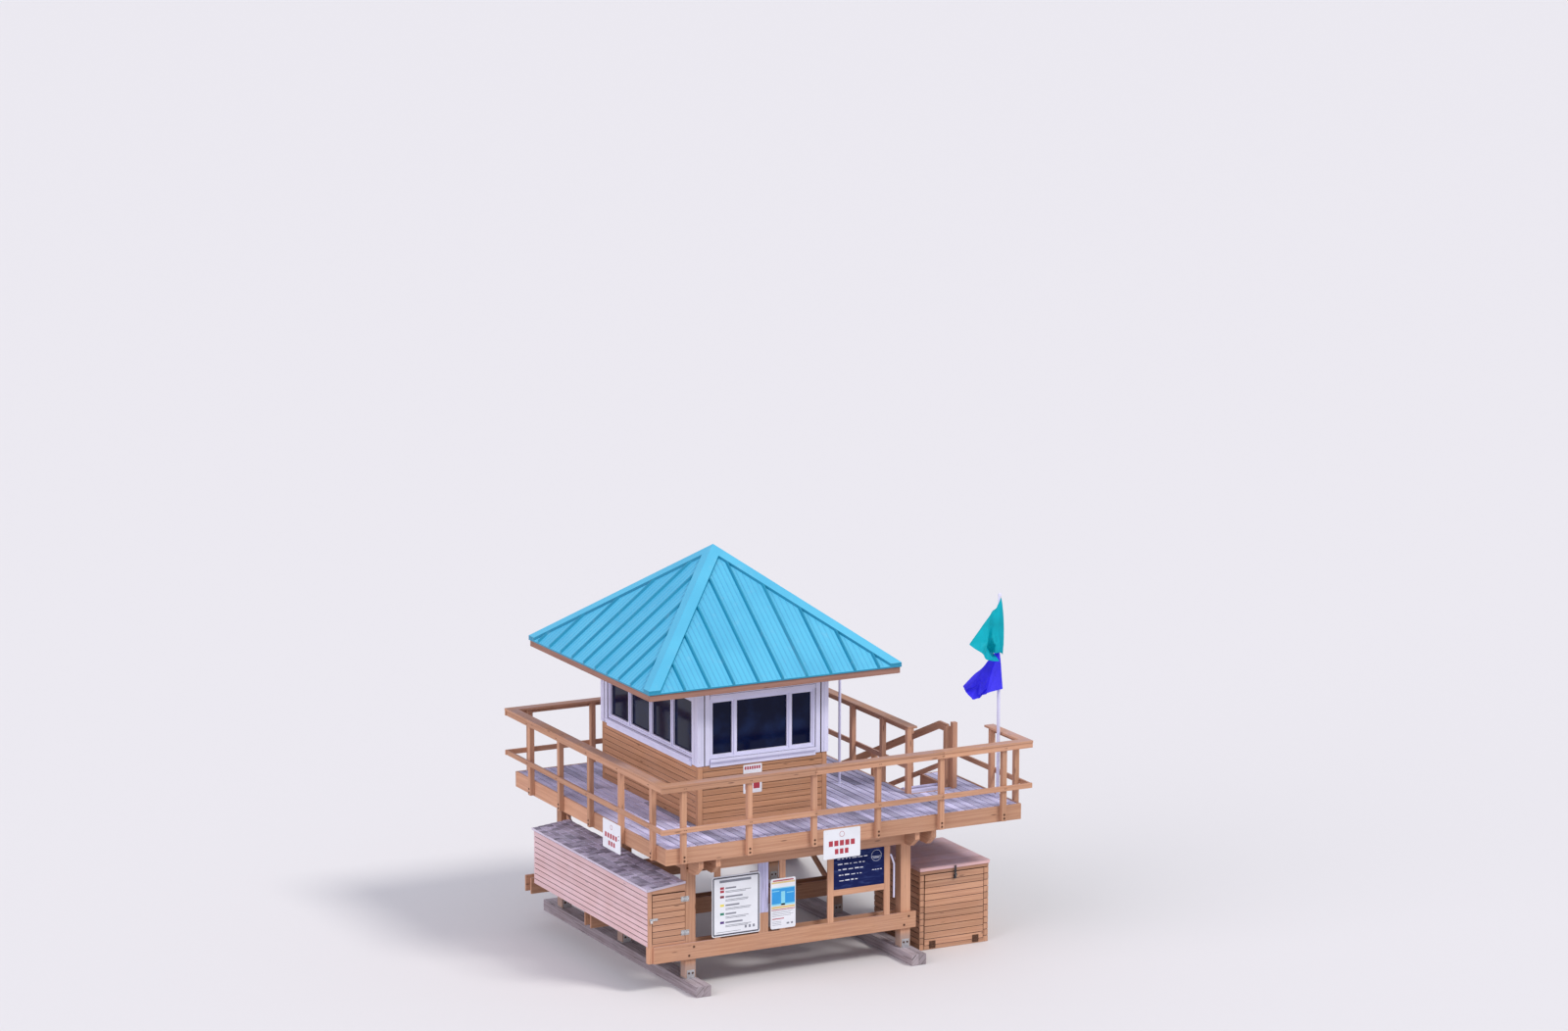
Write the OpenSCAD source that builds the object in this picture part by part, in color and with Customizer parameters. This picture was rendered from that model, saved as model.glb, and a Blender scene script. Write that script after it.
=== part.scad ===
// Beach lifeguard tower, millimetres, +Z up.
// X runs along the land side, Y from the land side to the sea side.
// Origin: middle of the footprint on the level floor the skids rest on.

/* [Deck] */
// height of the walking surface above the floor
deck_h = 2590; // [2400:10:2900]
// length of the deck along the land side
deck_w = 6760; // [6600:20:7200]
// depth of the deck from land side to sea side
deck_d = 5960; // [5800:20:6400]
// thickness of the deck boards
deck_t = 38; // [28:1:45]
// thickness of rim boards, rails and other planks
plank_t = 38; // [32:1:45]
// height of the joists under the boards
joist_h = 235; // [184:1:286]
// spacing of the joists
joist_gap = 600; // [500:10:700]

/* [Understructure] */
// width of one skid timber
skid_w = 140; // [120:5:160]
// height of one skid timber
skid_h = 190; // [140:5:240]
// reach of the skids past the deck at both ends
skid_reach = 40; // [0:10:200]
// square section of the main posts
post_w = 190; // [150:5:200]
// middle of the left post row from the left edge of the deck
row_left = 675; // [640:5:760]
// middle of the right post row, left of the ramp bay
row_in = 660; // [620:5:800]
// middle of the first and last post line from the deck edge
post_in = 545; // [480:5:700]
// thickness of a girder
girder_w = 89; // [64:1:100]
// depth of a girder
girder_h = 286; // [235:1:300]
// middle distance of the two girders of a row
girder_pair = 320; // [300:5:380]
// depth of a tie beam
tie_h = 286; // [235:1:300]
// top of the tie beams above the floor
tie_top = 820; // [780:5:900]

/* [Railings] */
// height of the rail cap above the deck
rail_h = 1120; // [1000:10:1200]
// square section of the rail posts
baluster_w = 89; // [80:1:95]
// width of the flat rail cap
cap_w = 184; // [170:1:200]
// spacing of the rail posts
rail_gap = 1216; // [1150:2:1240]
// top of the mid rail above the deck
mid_top = 375; // [300:5:600]
// height of a mid or top rail board
rail_board = 89; // [80:1:110]

/* [Ramp bay] */
// depth of the walkway in front of the cabin and the ramp
walk_d = 1450; // [1400:10:1500]
// width of the ramp bay
bay_w = 805; // [760:5:900]
// width of the narrow strip of deck right of the bay
strip_w = 530; // [460:10:600]
// depth of the narrow strip of deck right of the bay
strip_d = 2600; // [2500:20:2800]
// length of the level landing at the head of the ramp
landing = 390; // [300:10:600]
// level distance over which the ramp falls to the floor
ramp_run = 6080; // [5600:20:6800]

/* [Cabin] */
// left face of the cabin from the left edge of the deck
cabin_x = 1150; // [1100:10:1250]
// front face of the cabin from the front edge of the deck
cabin_y = 1120; // [1080:10:1300]
// width of the cabin
cabin_w = 2440; // [2380:10:2600]
// depth of the cabin
cabin_d = 3720; // [3600:10:3900]
// thickness of the cabin walls
wall_t = 100; // [80:5:120]
// height of the cabin walls above the deck
wall_h = 2395; // [2350:5:2600]
// bottom of the window openings above the deck
sill_h = 1130; // [1050:10:1200]
// top of the window openings above the deck
head_h = 2160; // [2100:10:2250]
// wall left standing between a corner and a window
corner_w = 220; // [200:5:260]
// thickness of the white boards round the windows
trim_t = 20; // [15:1:30]
// reach of the window sills past the wall
sill_out = 60; // [40:5:90]
// width of the doorway
door_w = 860; // [760:10:900]
// height of the doorway
door_h = 2030; // [1950:10:2100]

/* [Roof] */
// side of the square roof at the eaves
roof_w = 4750; // [4700:10:5000]
// height of the roof point above the eaves
roof_rise = 1830; // [1700:10:1950]
// height of the eave fascia boards
fascia_h = 110; // [80:5:140]
// height of the metal edge folded down outside the fascia
drip_h = 25; // [15:1:50]
// thickness of the roof skin with its sheathing
skin_t = 40; // [30:1:60]
// spacing of the roof ribs
rib_gap = 457; // [400:1:600]
// width of a roof rib at its foot
rib_w = 55; // [40:1:70]
// width of a roof rib at its top
rib_top = 26; // [15:1:35]
// height of a roof rib
rib_h = 36; // [24:1:40]
// half width of a hip cap in plan
hip_half = 150; // [100:5:200]
// height of a hip cap above the roof skin
cap_h = 42; // [41:1:60]

/* [Locker under the left side] */
// left face of the locker from the left edge of the deck
locker_x = -105; // [-160:5:0]
// length of the locker
locker_d = 4530; // [4300:10:4700]
// height of the locker walls at the low left side
locker_h = 960; // [900:10:1000]
// rise of the locker roof to its high side
locker_rise = 70; // [40:5:120]
// thickness of the locker walls
locker_t = 40; // [30:1:50]
// thickness of the locker door
leaf_t = 40; // [30:1:50]

/* [Cabinet under the right side] */
// left face of the cabinet from the right edge of the deck
box_in = 1570; // [1480:10:1600]
// front face of the cabinet from the front edge of the deck
box_y = 710; // [650:10:900]
// width of the cabinet
box_w = 1350; // [1250:10:1450]
// depth of the cabinet
box_d = 1630; // [1400:10:1700]
// height of the cabinet body
box_h = 1400; // [1300:10:1500]
// thickness of the cabinet lid
lid_t = 60; // [40:2:90]
// width of the frame round the drop door
stile_w = 90; // [70:5:120]
// thickness of the cabinet walls
box_t = 40; // [30:1:50]

/* [Flagpole and signs] */
// height of the flagpole above the deck
pole_h = 3570; // [3200:10:3700]
// diameter of the flagpole
pole_d = 57; // [38:1:60]
// diameter of the pipe under the right eave
pipe_d = 48; // [40:1:60]
// thickness of the sign plates
sign_t = 6; // [3:1:10]

/* [Output] */
// node to build: all or one name of the list

/* [Hidden] */

// stained pine
c_stain = [0.72, 0.50, 0.33];
// weathered pine
c_grey = [0.55, 0.54, 0.58];
// galvanised steel
c_zinc = [0.70, 0.71, 0.73];
// painted roof metal
c_aqua = [0.35, 0.74, 0.78];
// white paint and plastic
c_white = [0.93, 0.93, 0.92];
// tinted glass
c_glass = [0.10, 0.13, 0.25];
// chalkboard
c_slate = [0.12, 0.13, 0.18];
// green flag cloth
c_green = [0.1, 0.65, 0.5];
// purple flag cloth
c_purple = [0.25, 0.2, 0.85];

// clearance round a moving leaf
leaf_gap = 8;
// gap left between sloped or round faces that rest on each other
seat = 0.3;
// clearance big enough to cut past a face
eps = 10;

deck_under = deck_h - deck_t;
joist_under = deck_under - joist_h;
girder_under = joist_under - girder_h;
tie_under = tie_top - tie_h;
shoe_t = 8;
bay_x1 = deck_w - strip_w;
bay_x0 = bay_x1 - bay_w;
row_right = bay_x0 - row_in;
row_x = [row_left, row_right];
line_y = [post_in, deck_d / 2, deck_d - post_in];
ramp_y0 = walk_d + landing;
ramp_y1 = ramp_y0 + ramp_run;
cap_over = 15;
rail_out = baluster_w + plank_t;
cap_out = rail_out + cap_over;
mid_x = deck_w / 2;
mid_y = (ramp_y1 - cap_out) / 2;

// box from corner to corner in deck coordinates
module block(x, y, z) {
  translate([x[0] - mid_x, y[0] - mid_y, z[0]])
    cube([x[1] - x[0], y[1] - y[0], z[1] - z[0]]);
}

module skids() {
  color(c_grey)
    for (x = row_x)
      for (s = [-1, 0])
        block([x + s * skid_w, x + (s + 1) * skid_w],
              [-skid_reach, deck_d + skid_reach], [0, skid_h]);
}

module post_shoes() {
  shoe_h = 150;
  cheek_in = 25;
  color(c_zinc)
    for (x = row_x)
      for (y = line_y) {
        block([x - post_w / 2, x + post_w / 2],
              [y - post_w / 2 - shoe_t, y + post_w / 2 + shoe_t], [skid_h, skid_h + shoe_t]);
        for (s = [-1, 1])
          block([x - post_w / 2 + cheek_in, x + post_w / 2 - cheek_in],
                [y + s * (post_w + shoe_t) / 2 - shoe_t / 2, y + s * (post_w + shoe_t) / 2 + shoe_t / 2],
                [skid_h + shoe_t, skid_h + shoe_h]);
      }
}

// main post slotted at the head for its girder
module main_posts() {
  color(c_stain)
    for (x = row_x)
      for (y = line_y)
        difference() {
          block([x - post_w / 2, x + post_w / 2], [y - post_w / 2, y + post_w / 2],
                [skid_h + shoe_t, joist_under]);
          block([x - girder_w / 2, x + girder_w / 2], [y - post_w, y + post_w],
                [girder_under, joist_under + eps]);
        }
}

// girders with chamfered ends, and the blocks that tie each pair
module girders() {
  end_in = 50;
  chamfer_l = 190;
  chamfer_h = 150;
  block_up = 50;
  y0 = end_in;
  y1 = deck_d - end_in;
  color(c_stain)
    for (x = row_x) {
      for (s = [0, 1])
        side_plate(x + s * girder_pair - girder_w / 2, girder_w,
                   [[y0, joist_under], [y0, girder_under + chamfer_h],
                    [y0 + chamfer_l, girder_under], [y1 - chamfer_l, girder_under],
                    [y1, girder_under + chamfer_h], [y1, joist_under]]);
      for (y = line_y)
        block([x + post_w / 2, x + girder_pair - girder_w / 2],
              [y - girder_w / 2, y + girder_w / 2], [girder_under + block_up, joist_under]);
    }
}

foot_w = 95;
tie_lap = 15;
tie_end = 90;
tie_x0 = locker_x + foot_w - tie_lap;
tie_x1 = row_right + post_w / 2 + tie_end;

// planks on the front and back of every post line, header planks under the deck
// on the outer lines, and the diagonal braces of the sea-side bay
module tie_beams() {
  brace_h = 140;
  brace_down = 120;
  head_x = [row_left + girder_pair + girder_w / 2, row_right - girder_w / 2];
  y_a = line_y[1] + post_w / 2 + plank_t;
  y_b = line_y[2] - post_w / 2 - plank_t;
  z_a = tie_under;
  z_b = girder_under - brace_h - brace_down;
  color(c_stain) {
    for (y = line_y)
      for (s = [-1, 1]) {
        y_face = y + s * (post_w / 2 + plank_t / 2);
        block([tie_x0, tie_x1], [y_face - plank_t / 2, y_face + plank_t / 2],
              [tie_under, tie_top]);
      }
    block(head_x, [board_y, board_y + plank_t], [girder_under, joist_under]);
    block(head_x, [deck_d - board_y - plank_t, deck_d - board_y], [girder_under, joist_under]);
    for (x = row_x)
      side_plate(x - plank_t / 2, plank_t,
                 [[y_a, z_a], [y_b, z_b], [y_b, z_b + brace_h], [y_a, z_a + brace_h]]);
  }
}

joist_n = floor((deck_d - 2 * plank_t) / joist_gap);
joist_clear = 50;

// the right end of a joist depends on what part of the deck it carries
function joist_end(y) =
  y < walk_d - plank_t - joist_clear ? deck_w - plank_t : bay_x0 - plank_t;

module joists() {
  strip_in = 150;
  strip_gap = 450;
  color(c_stain) {
    for (k = [1 : joist_n]) {
      y = k * joist_gap;
      if (y < deck_d - plank_t - joist_clear)
        block([plank_t, joist_end(y)], [y - plank_t / 2, y + plank_t / 2],
              [joist_under, deck_under]);
    }
    for (y = [walk_d + strip_in : strip_gap : strip_d - strip_in])
      block([bay_x1 + plank_t, deck_w - plank_t], [y - plank_t / 2, y + plank_t / 2],
            [joist_under, deck_under]);
  }
}

module rims() {
  z = [joist_under, deck_h];
  color(c_stain) {
    block([0, deck_w], [0, plank_t], z);
    block([0, plank_t], [plank_t, deck_d - plank_t], z);
    block([0, bay_x0], [deck_d - plank_t, deck_d], z);
    block([bay_x0 - plank_t, bay_x0], [walk_d - plank_t, deck_d - plank_t], z);
    block([bay_x0, bay_x1], [walk_d - plank_t, walk_d], z);
    block([bay_x1, bay_x1 + plank_t], [walk_d - plank_t, strip_d - plank_t], z);
    block([bay_x1, deck_w - plank_t], [strip_d - plank_t, strip_d], z);
    block([deck_w - plank_t, deck_w], [plank_t, strip_d], z);
  }
}

module deck_boards() {
  color(c_grey)
    translate([-mid_x, -mid_y, deck_under])
      linear_extrude(deck_t)
        polygon([[plank_t, plank_t], [deck_w - plank_t, plank_t],
                 [deck_w - plank_t, strip_d - plank_t], [bay_x1 + plank_t, strip_d - plank_t],
                 [bay_x1 + plank_t, walk_d - plank_t], [bay_x0 - plank_t, walk_d - plank_t],
                 [bay_x0 - plank_t, deck_d - plank_t], [plank_t, deck_d - plank_t]]);
}

rail_z = deck_h + rail_h;
cap_under = rail_z - plank_t;
foot_up = 22;
post_foot = joist_under + foot_up;
cap_in = cap_w - cap_out;

// railing along X on the face y, side -1 for the land side, +1 for the sea side
module rail_x(x, posts, y, side) {
  a = side < 0 ? y - baluster_w : y;
  r = side < 0 ? y - rail_out : y + baluster_w;
  c = side < 0 ? y - cap_out : y + cap_out - cap_w;
  for (b = posts)
    block([b - baluster_w / 2, b + baluster_w / 2], [a, a + baluster_w], [post_foot, cap_under]);
  for (top = [cap_under, deck_h + mid_top])
    block(x, [r, r + plank_t], [top - rail_board, top]);
  block(x, [c, c + cap_w], [cap_under, rail_z]);
}

// railing along Y on the face x, side -1 for the left, +1 for the right; its boards
// run on to meet the boards of the railings across, its cap stops at theirs
module rail_y(y_board, y_cap, posts, x, side) {
  a = side < 0 ? x - baluster_w : x;
  r = side < 0 ? x - rail_out : x + baluster_w;
  c = side < 0 ? x - cap_out : x + cap_out - cap_w;
  for (b = posts)
    block([a, a + baluster_w], [b - baluster_w / 2, b + baluster_w / 2], [post_foot, cap_under]);
  for (top = [cap_under, deck_h + mid_top])
    block([r, r + plank_t], y_board, [top - rail_board, top]);
  block([c, c + cap_w], y_cap, [cap_under, rail_z]);
}

front_x0 = 297;
left_y0 = 400;
left_gap = 1200;
right_y0 = 275;
right_gap = 825;
front_posts = [for (x = [front_x0 : rail_gap : deck_w - baluster_w / 2]) x];
back_posts = [for (x = [front_x0 : rail_gap : bay_x0 - baluster_w / 2]) x];
left_posts = [for (y = [left_y0 : left_gap : deck_d - left_y0]) y];
right_posts = [right_y0, right_y0 + right_gap];

module rail_front() {
  color(c_stain)
    rail_x([-cap_out, deck_w + cap_out], front_posts, 0, -1);
}

module rail_left() {
  color(c_stain)
    rail_y([-baluster_w, deck_d + baluster_w], [cap_in, deck_d - cap_in], left_posts, 0, -1);
}

// its cap and top board stop at the second post, the mid rail runs on to a low one
module rail_right() {
  cap_end = 75;
  low_in = 100;
  top_end = right_posts[1] + baluster_w / 2;
  low = strip_d - low_in;
  mid = deck_h + mid_top;
  color(c_stain) {
    rail_y([-baluster_w, top_end], [cap_in, top_end + cap_end], right_posts, deck_w, 1);
    block([deck_w + baluster_w, deck_w + rail_out], [top_end, strip_d], [mid - rail_board, mid]);
    block([deck_w, deck_w + baluster_w], [low - baluster_w / 2, low + baluster_w / 2],
          [post_foot, mid]);
  }
}

module rail_back() {
  color(c_stain)
    rail_x([-cap_out, bay_x0], back_posts, deck_d, 1);
}

// higher railing on the deck edge along the bay, from the walkway to the sea side; its
// first post stands at the ramp and its cap leans out over the bay
module rail_porch() {
  porch_over = 60;
  mid_over = 100;
  bay_over = 65;
  first_gap = 920;
  porch_gap = 1094;
  first = walk_d + baluster_w / 2;
  under = cap_under + porch_over;
  y = [walk_d, deck_d];
  x = bay_x0 + plank_t;
  color(c_stain) {
    for (b = concat([first], [for (b = [first + first_gap : porch_gap : deck_d - baluster_w]) b]))
      block([bay_x0 - baluster_w, bay_x0], [b - baluster_w / 2, b + baluster_w / 2],
            [deck_h, under]);
    for (top = [under, deck_h + mid_top + mid_over])
      block([bay_x0, x], y, [top - rail_board, top]);
    block([x + bay_over - cap_w, x + bay_over], y, [under, under + plank_t]);
  }
}

gate_over = 40;
gate_top = rail_z + gate_over;
stringer_h = 235;
slope = deck_h / ramp_run;

// height of the ramp surface at y
function ramp_z(y) = deck_h - max(0, y - ramp_y0) * slope;

// outline in y and z, pushed out from x by thick
module side_plate(x, thick, outline) {
  translate([x - mid_x, -mid_y, 0])
    rotate([90, 0, 90])
      linear_extrude(thick)
        polygon(outline);
}

// piece that runs level over the landing and then falls to the floor
module ramp_profile(z_top, depth, x, thick) {
  toe = ramp_y1 - (deck_h - z_top) / slope;
  heel = ramp_y1 - (deck_h - z_top + depth) / slope;
  side_plate(x, thick, [[walk_d, z_top], [ramp_y0, z_top], [toe, 0], [heel, 0],
                        [ramp_y0, z_top - depth], [walk_d, z_top - depth]]);
}

// three stringers
module ramp_frame() {
  color(c_stain)
    for (x = [bay_x0, (bay_x0 + bay_x1 - plank_t) / 2, bay_x1 - plank_t])
      ramp_profile(deck_under, stringer_h, x, plank_t);
}

module ramp_boards() {
  color(c_grey)
    ramp_profile(deck_h, deck_t, bay_x0, bay_x1 - bay_x0);
}

ramp_gap = 1300;
ramp_posts = [for (k = [0 : 4]) walk_d + 1.5 * baluster_w + k * ramp_gap];

// rail beside the ramp, its top edge h above the surface
module ramp_rail(x, h, tall) {
  y = [walk_d + baluster_w, ramp_y0, ramp_posts[4] + baluster_w / 2];
  side_plate(x, plank_t, [[y[0], ramp_z(y[0]) + h], [y[1], ramp_z(y[1]) + h],
                          [y[2], ramp_z(y[2]) + h], [y[2], ramp_z(y[2]) + h - tall],
                          [y[1], ramp_z(y[1]) + h - tall], [y[0], ramp_z(y[0]) + h - tall]]);
}

// gate post on the strip, and posts on that side of the ramp with a falling hand rail
// and mid rail
module ramp_rails() {
  hand_h = 140;
  x = bay_x1 - baluster_w;
  rail_x0 = x + (baluster_w - plank_t) / 2;
  color(c_stain) {
    block([bay_x1, bay_x1 + baluster_w], [walk_d, walk_d + baluster_w], [deck_h, gate_top]);
    for (y = ramp_posts) {
      y0 = y - baluster_w / 2;
      y1 = y + baluster_w / 2;
      side_plate(x, baluster_w, [[y0, ramp_z(y0) + seat], [y1, ramp_z(y1) + seat],
                                 [y1, ramp_z(y1) + rail_h - plank_t],
                                 [y0, ramp_z(y0) + rail_h - plank_t]]);
    }
    ramp_rail(rail_x0, rail_h, hand_h);
    ramp_rail(rail_x0, mid_top, rail_board);
  }
}

cabin_x1 = cabin_x + cabin_w;
cabin_y1 = cabin_y + cabin_d;
wall_z = [deck_h, deck_h + wall_h];
hole_z = [deck_h + sill_h, deck_h + head_h];
door_off = 500;
door_y0 = cabin_y + door_off;

module wall_front() {
  color(c_stain)
    difference() {
      block([cabin_x, cabin_x1], [cabin_y, cabin_y + wall_t], wall_z);
      block([cabin_x + corner_w, cabin_x1 - corner_w], [cabin_y - eps, cabin_y + wall_t + eps], hole_z);
    }
}

module wall_back() {
  color(c_stain)
    difference() {
      block([cabin_x, cabin_x1], [cabin_y1 - wall_t, cabin_y1], wall_z);
      block([cabin_x + corner_w, cabin_x1 - corner_w], [cabin_y1 - wall_t - eps, cabin_y1 + eps], hole_z);
    }
}

side_y = [cabin_y + wall_t, cabin_y1 - wall_t];
side_hole_y = [cabin_y + corner_w, cabin_y1 - corner_w];

module wall_left() {
  color(c_stain)
    difference() {
      block([cabin_x, cabin_x + wall_t], side_y, wall_z);
      block([cabin_x - eps, cabin_x + wall_t + eps], side_hole_y, hole_z);
    }
}

pier_w = 300;
right_hole_y = [door_y0 + door_w + pier_w, cabin_y1 - corner_w];

module wall_right() {
  color(c_stain)
    difference() {
      block([cabin_x1 - wall_t, cabin_x1], side_y, wall_z);
      block([cabin_x1 - wall_t - eps, cabin_x1 + eps], right_hole_y, hole_z);
      block([cabin_x1 - wall_t - eps, cabin_x1 + eps], [door_y0, door_y0 + door_w],
            [deck_h - eps, deck_h + door_h]);
    }
}

sash_w = 75;
sash_back = 10;
sill_w = 100;
sill_t = 40;
frame_in = 60;
lap = 20;

// frame that fills an opening in a wall along X, with bars at the given places
module frame_x(x, y, bars) {
  difference() {
    block(x, y, hole_z);
    block([x[0] + sash_w, x[1] - sash_w], [y[0] - eps, y[1] + eps],
          [hole_z[0] + sash_w, hole_z[1] - sash_w]);
  }
  for (b = bars)
    block([b - sash_w / 2, b + sash_w / 2], y, [hole_z[0] + sash_w, hole_z[1] - sash_w]);
}

// the same for a wall along Y
module frame_y(x, y, bars) {
  difference() {
    block(x, y, hole_z);
    block([x[0] - eps, x[1] + eps], [y[0] + sash_w, y[1] - sash_w],
          [hole_z[0] + sash_w, hole_z[1] - sash_w]);
  }
  for (b = bars)
    block(x, [b - sash_w / 2, b + sash_w / 2], [hole_z[0] + sash_w, hole_z[1] - sash_w]);
}

cabin_cx = cabin_x + cabin_w / 2;
light_half = 520;
front_bars = [cabin_cx - light_half, cabin_cx + light_half];
side_bars = [for (k = [1 : 3]) side_hole_y[0] + k * (side_hole_y[1] - side_hole_y[0]) / 4];
right_bars = [(right_hole_y[0] + right_hole_y[1]) / 2];

// white boards on one pair of outer wall faces, solid before the openings are cut
module trim_band(out, z) {
  difference() {
    block([cabin_x - out, cabin_x1 + out], [cabin_y - out, cabin_y1 + out], z);
    block([cabin_x, cabin_x1], [cabin_y, cabin_y1], [z[0] - eps, z[1] + eps]);
  }
}

// sashes in the openings, white boards round them up to the ceiling, and the sills
module window_frames() {
  t = frame_in;
  far = 2 * sill_out;
  hole_x = [cabin_x + corner_w, cabin_x1 - corner_w];
  sill_z = [hole_z[0] - sill_w, hole_z[0]];
  color(c_white) {
    frame_x(hole_x, [cabin_y + sash_back, cabin_y + sash_back + t], front_bars);
    frame_x(hole_x, [cabin_y1 - sash_back - t, cabin_y1 - sash_back], front_bars);
    frame_y([cabin_x + sash_back, cabin_x + sash_back + t], side_hole_y, side_bars);
    frame_y([cabin_x1 - sash_back - t, cabin_x1 - sash_back], right_hole_y, right_bars);
    difference() {
      union() {
        trim_band(trim_t, [sill_z[0], deck_h + wall_h]);
        trim_band(sill_out, [sill_z[1] - sill_t, sill_z[1]]);
      }
      block(hole_x, [cabin_y - far, cabin_y1 + far], hole_z);
      block([cabin_x - far, cabin_x1 - wall_t], side_hole_y, hole_z);
      block([cabin_x1 - wall_t, cabin_x1 + far], right_hole_y, hole_z);
      block([cabin_x1 - wall_t, cabin_x1 + far], [door_y0, door_y0 + door_w],
            [sill_z[0] - eps, deck_h + door_h]);
    }
  }
}

// one sheet behind the frames of each wall
module window_glass() {
  g = 6;
  in = sash_back + frame_in;
  hole_x = [cabin_x + corner_w + lap, cabin_x1 - corner_w - lap];
  z = [hole_z[0] + lap, hole_z[1] - lap];
  color(c_glass) {
    block(hole_x, [cabin_y + in, cabin_y + in + g], z);
    block(hole_x, [cabin_y1 - in - g, cabin_y1 - in], z);
    block([cabin_x + in, cabin_x + in + g], [side_hole_y[0] + lap, side_hole_y[1] - lap], z);
    block([cabin_x1 - in - g, cabin_x1 - in], [right_hole_y[0] + lap, right_hole_y[1] - lap], z);
  }
}

module cabin_door() {
  door_t = 45;
  door_in = 25;
  x = cabin_x1 - door_in - door_t;
  color(c_white)
    block([x, x + door_t], [door_y0, door_y0 + door_w], [deck_h, deck_h + door_h]);
}

roof_cx = cabin_cx;
roof_cy = cabin_y + cabin_d / 2;
roof_half = roof_w / 2;
eave_z = deck_h + wall_h + fascia_h;
fascia_in = 20;
ceiling_t = 18;
pitch = atan(roof_rise / roof_half);

module ceiling() {
  h = roof_half - fascia_in - plank_t;
  color(c_stain)
    block([roof_cx - h, roof_cx + h], [roof_cy - h, roof_cy + h],
          [deck_h + wall_h, deck_h + wall_h + ceiling_t]);
}

module fascia() {
  h = roof_half - fascia_in;
  color(c_stain)
    difference() {
      block([roof_cx - h, roof_cx + h], [roof_cy - h, roof_cy + h],
            [deck_h + wall_h, eave_z]);
      block([roof_cx - h + plank_t, roof_cx + h - plank_t],
            [roof_cy - h + plank_t, roof_cy + h - plank_t],
            [deck_h + wall_h - eps, eave_z + eps]);
    }
}

// everything under the slope facing direction a, the slope moved outward by o
module under_slope(a, o) {
  big = roof_w * 2;
  rotate([0, 0, a])
    translate([0, -roof_half, 0])
      rotate([pitch, 0, 0])
        translate([-big, -big, o - big])
          cube([2 * big, 2 * big, big]);
}

// solid pyramid over the eaves, its slopes moved outward by o and its foot down by drop
module pyramid(o, drop) {
  translate([roof_cx - mid_x, roof_cy - mid_y, eave_z])
    intersection() {
      translate([-roof_half, -roof_half, -drop])
        cube([roof_w, roof_w, roof_w + drop]);
      under_slope(0, o);
      under_slope(90, o);
      under_slope(180, o);
      under_slope(270, o);
    }
}

// the part of the plan that belongs to the slope facing direction a, inside the hip caps
module slope_zone(a) {
  s = (hip_half + seat) * sqrt(2);
  translate([roof_cx - mid_x, roof_cy - mid_y, eave_z - eps])
    rotate([0, 0, a])
      linear_extrude(2 * roof_rise)
        polygon([[-(roof_half - s), -roof_half], [roof_half - s, -roof_half], [0, -s]]);
}

// how far the ribs lie off the middle, on the land and sea slopes and on the side slopes
rib_shift = [-120, 76];

// ribs pressed into the roof sheets, trapezoids in section, from the eaves to the hips
module ribs() {
  root = 5;
  edge = roof_half - (hip_half + seat) * sqrt(2) - rib_w;
  n = floor((roof_half - hip_half) / rib_gap - 0.5);
  for (a = [0 : 90 : 270]) {
    shift = rib_shift[(a / 90) % 2];
    intersection() {
      slope_zone(a);
      for (u = [for (k = [-n - 1 : n]) (k + 0.5) * rib_gap + shift])
        if (abs(u) < edge)
          translate([roof_cx - mid_x, roof_cy - mid_y, eave_z])
            rotate([0, 0, a])
              translate([u, -roof_half, 0])
                rotate([pitch, 0, 0])
                  translate([0, roof_w, 0])
                    rotate([90, 0, 0])
                      linear_extrude(roof_w)
                        polygon([[-rib_w / 2, -root], [rib_w / 2, -root], [rib_w / 2, 0],
                                 [rib_top / 2, rib_h], [-rib_top / 2, rib_h],
                                 [-rib_w / 2, 0]]);
    }
  }
}

drip_t = 4;

// ribbed skin on its sheathing, with the drip edge round the eaves
module roof_metal() {
  h = roof_half - drip_t;
  color(c_aqua)
    union() {
      difference() {
        pyramid(0, drip_h);
        translate([0, 0, -skin_t])
          pyramid(0, 0);
        block([roof_cx - h, roof_cx + h], [roof_cy - h, roof_cy + h],
              [eave_z - drip_h - eps, eave_z]);
      }
      ribs();
    }
}

module hip_caps() {
  color(c_aqua)
    intersection() {
      difference() {
        pyramid(cap_h, 0);
        pyramid(seat, 0);
      }
      translate([roof_cx - mid_x, roof_cy - mid_y, eave_z])
        for (a = [45, 135])
          rotate([0, 0, a])
            translate([-roof_w, -hip_half, 0])
              cube([2 * roof_w, 2 * hip_half, 2 * roof_w]);
    }
}

flange_d = 120;
flange_t = 8;

// round tube on a flange, from the porch floor to the eaves ceiling
module eave_pipe() {
  pipe_off = 320;
  pipe_clear = 2;
  x = roof_cx + roof_half - fascia_in - plank_t - pipe_d / 2 - pipe_clear;
  color(c_zinc)
    translate([x - mid_x, roof_cy - pipe_off - mid_y, deck_h])
      union() {
        cylinder(h = wall_h, d = pipe_d, $fn = 48);
        cylinder(h = flange_t, d = flange_d, $fn = 48);
      }
}

locker_y0 = post_in - post_w / 2;
locker_y1 = locker_y0 + locker_d;
locker_x1 = row_left - post_w / 2;
locker_z0 = tie_top;
locker_z1 = locker_z0 + locker_h;
leaf_side = 70;
leaf_sill = 45;
leaf_head = 60;
locker_opening = [locker_x + leaf_side, locker_x1];

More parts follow.
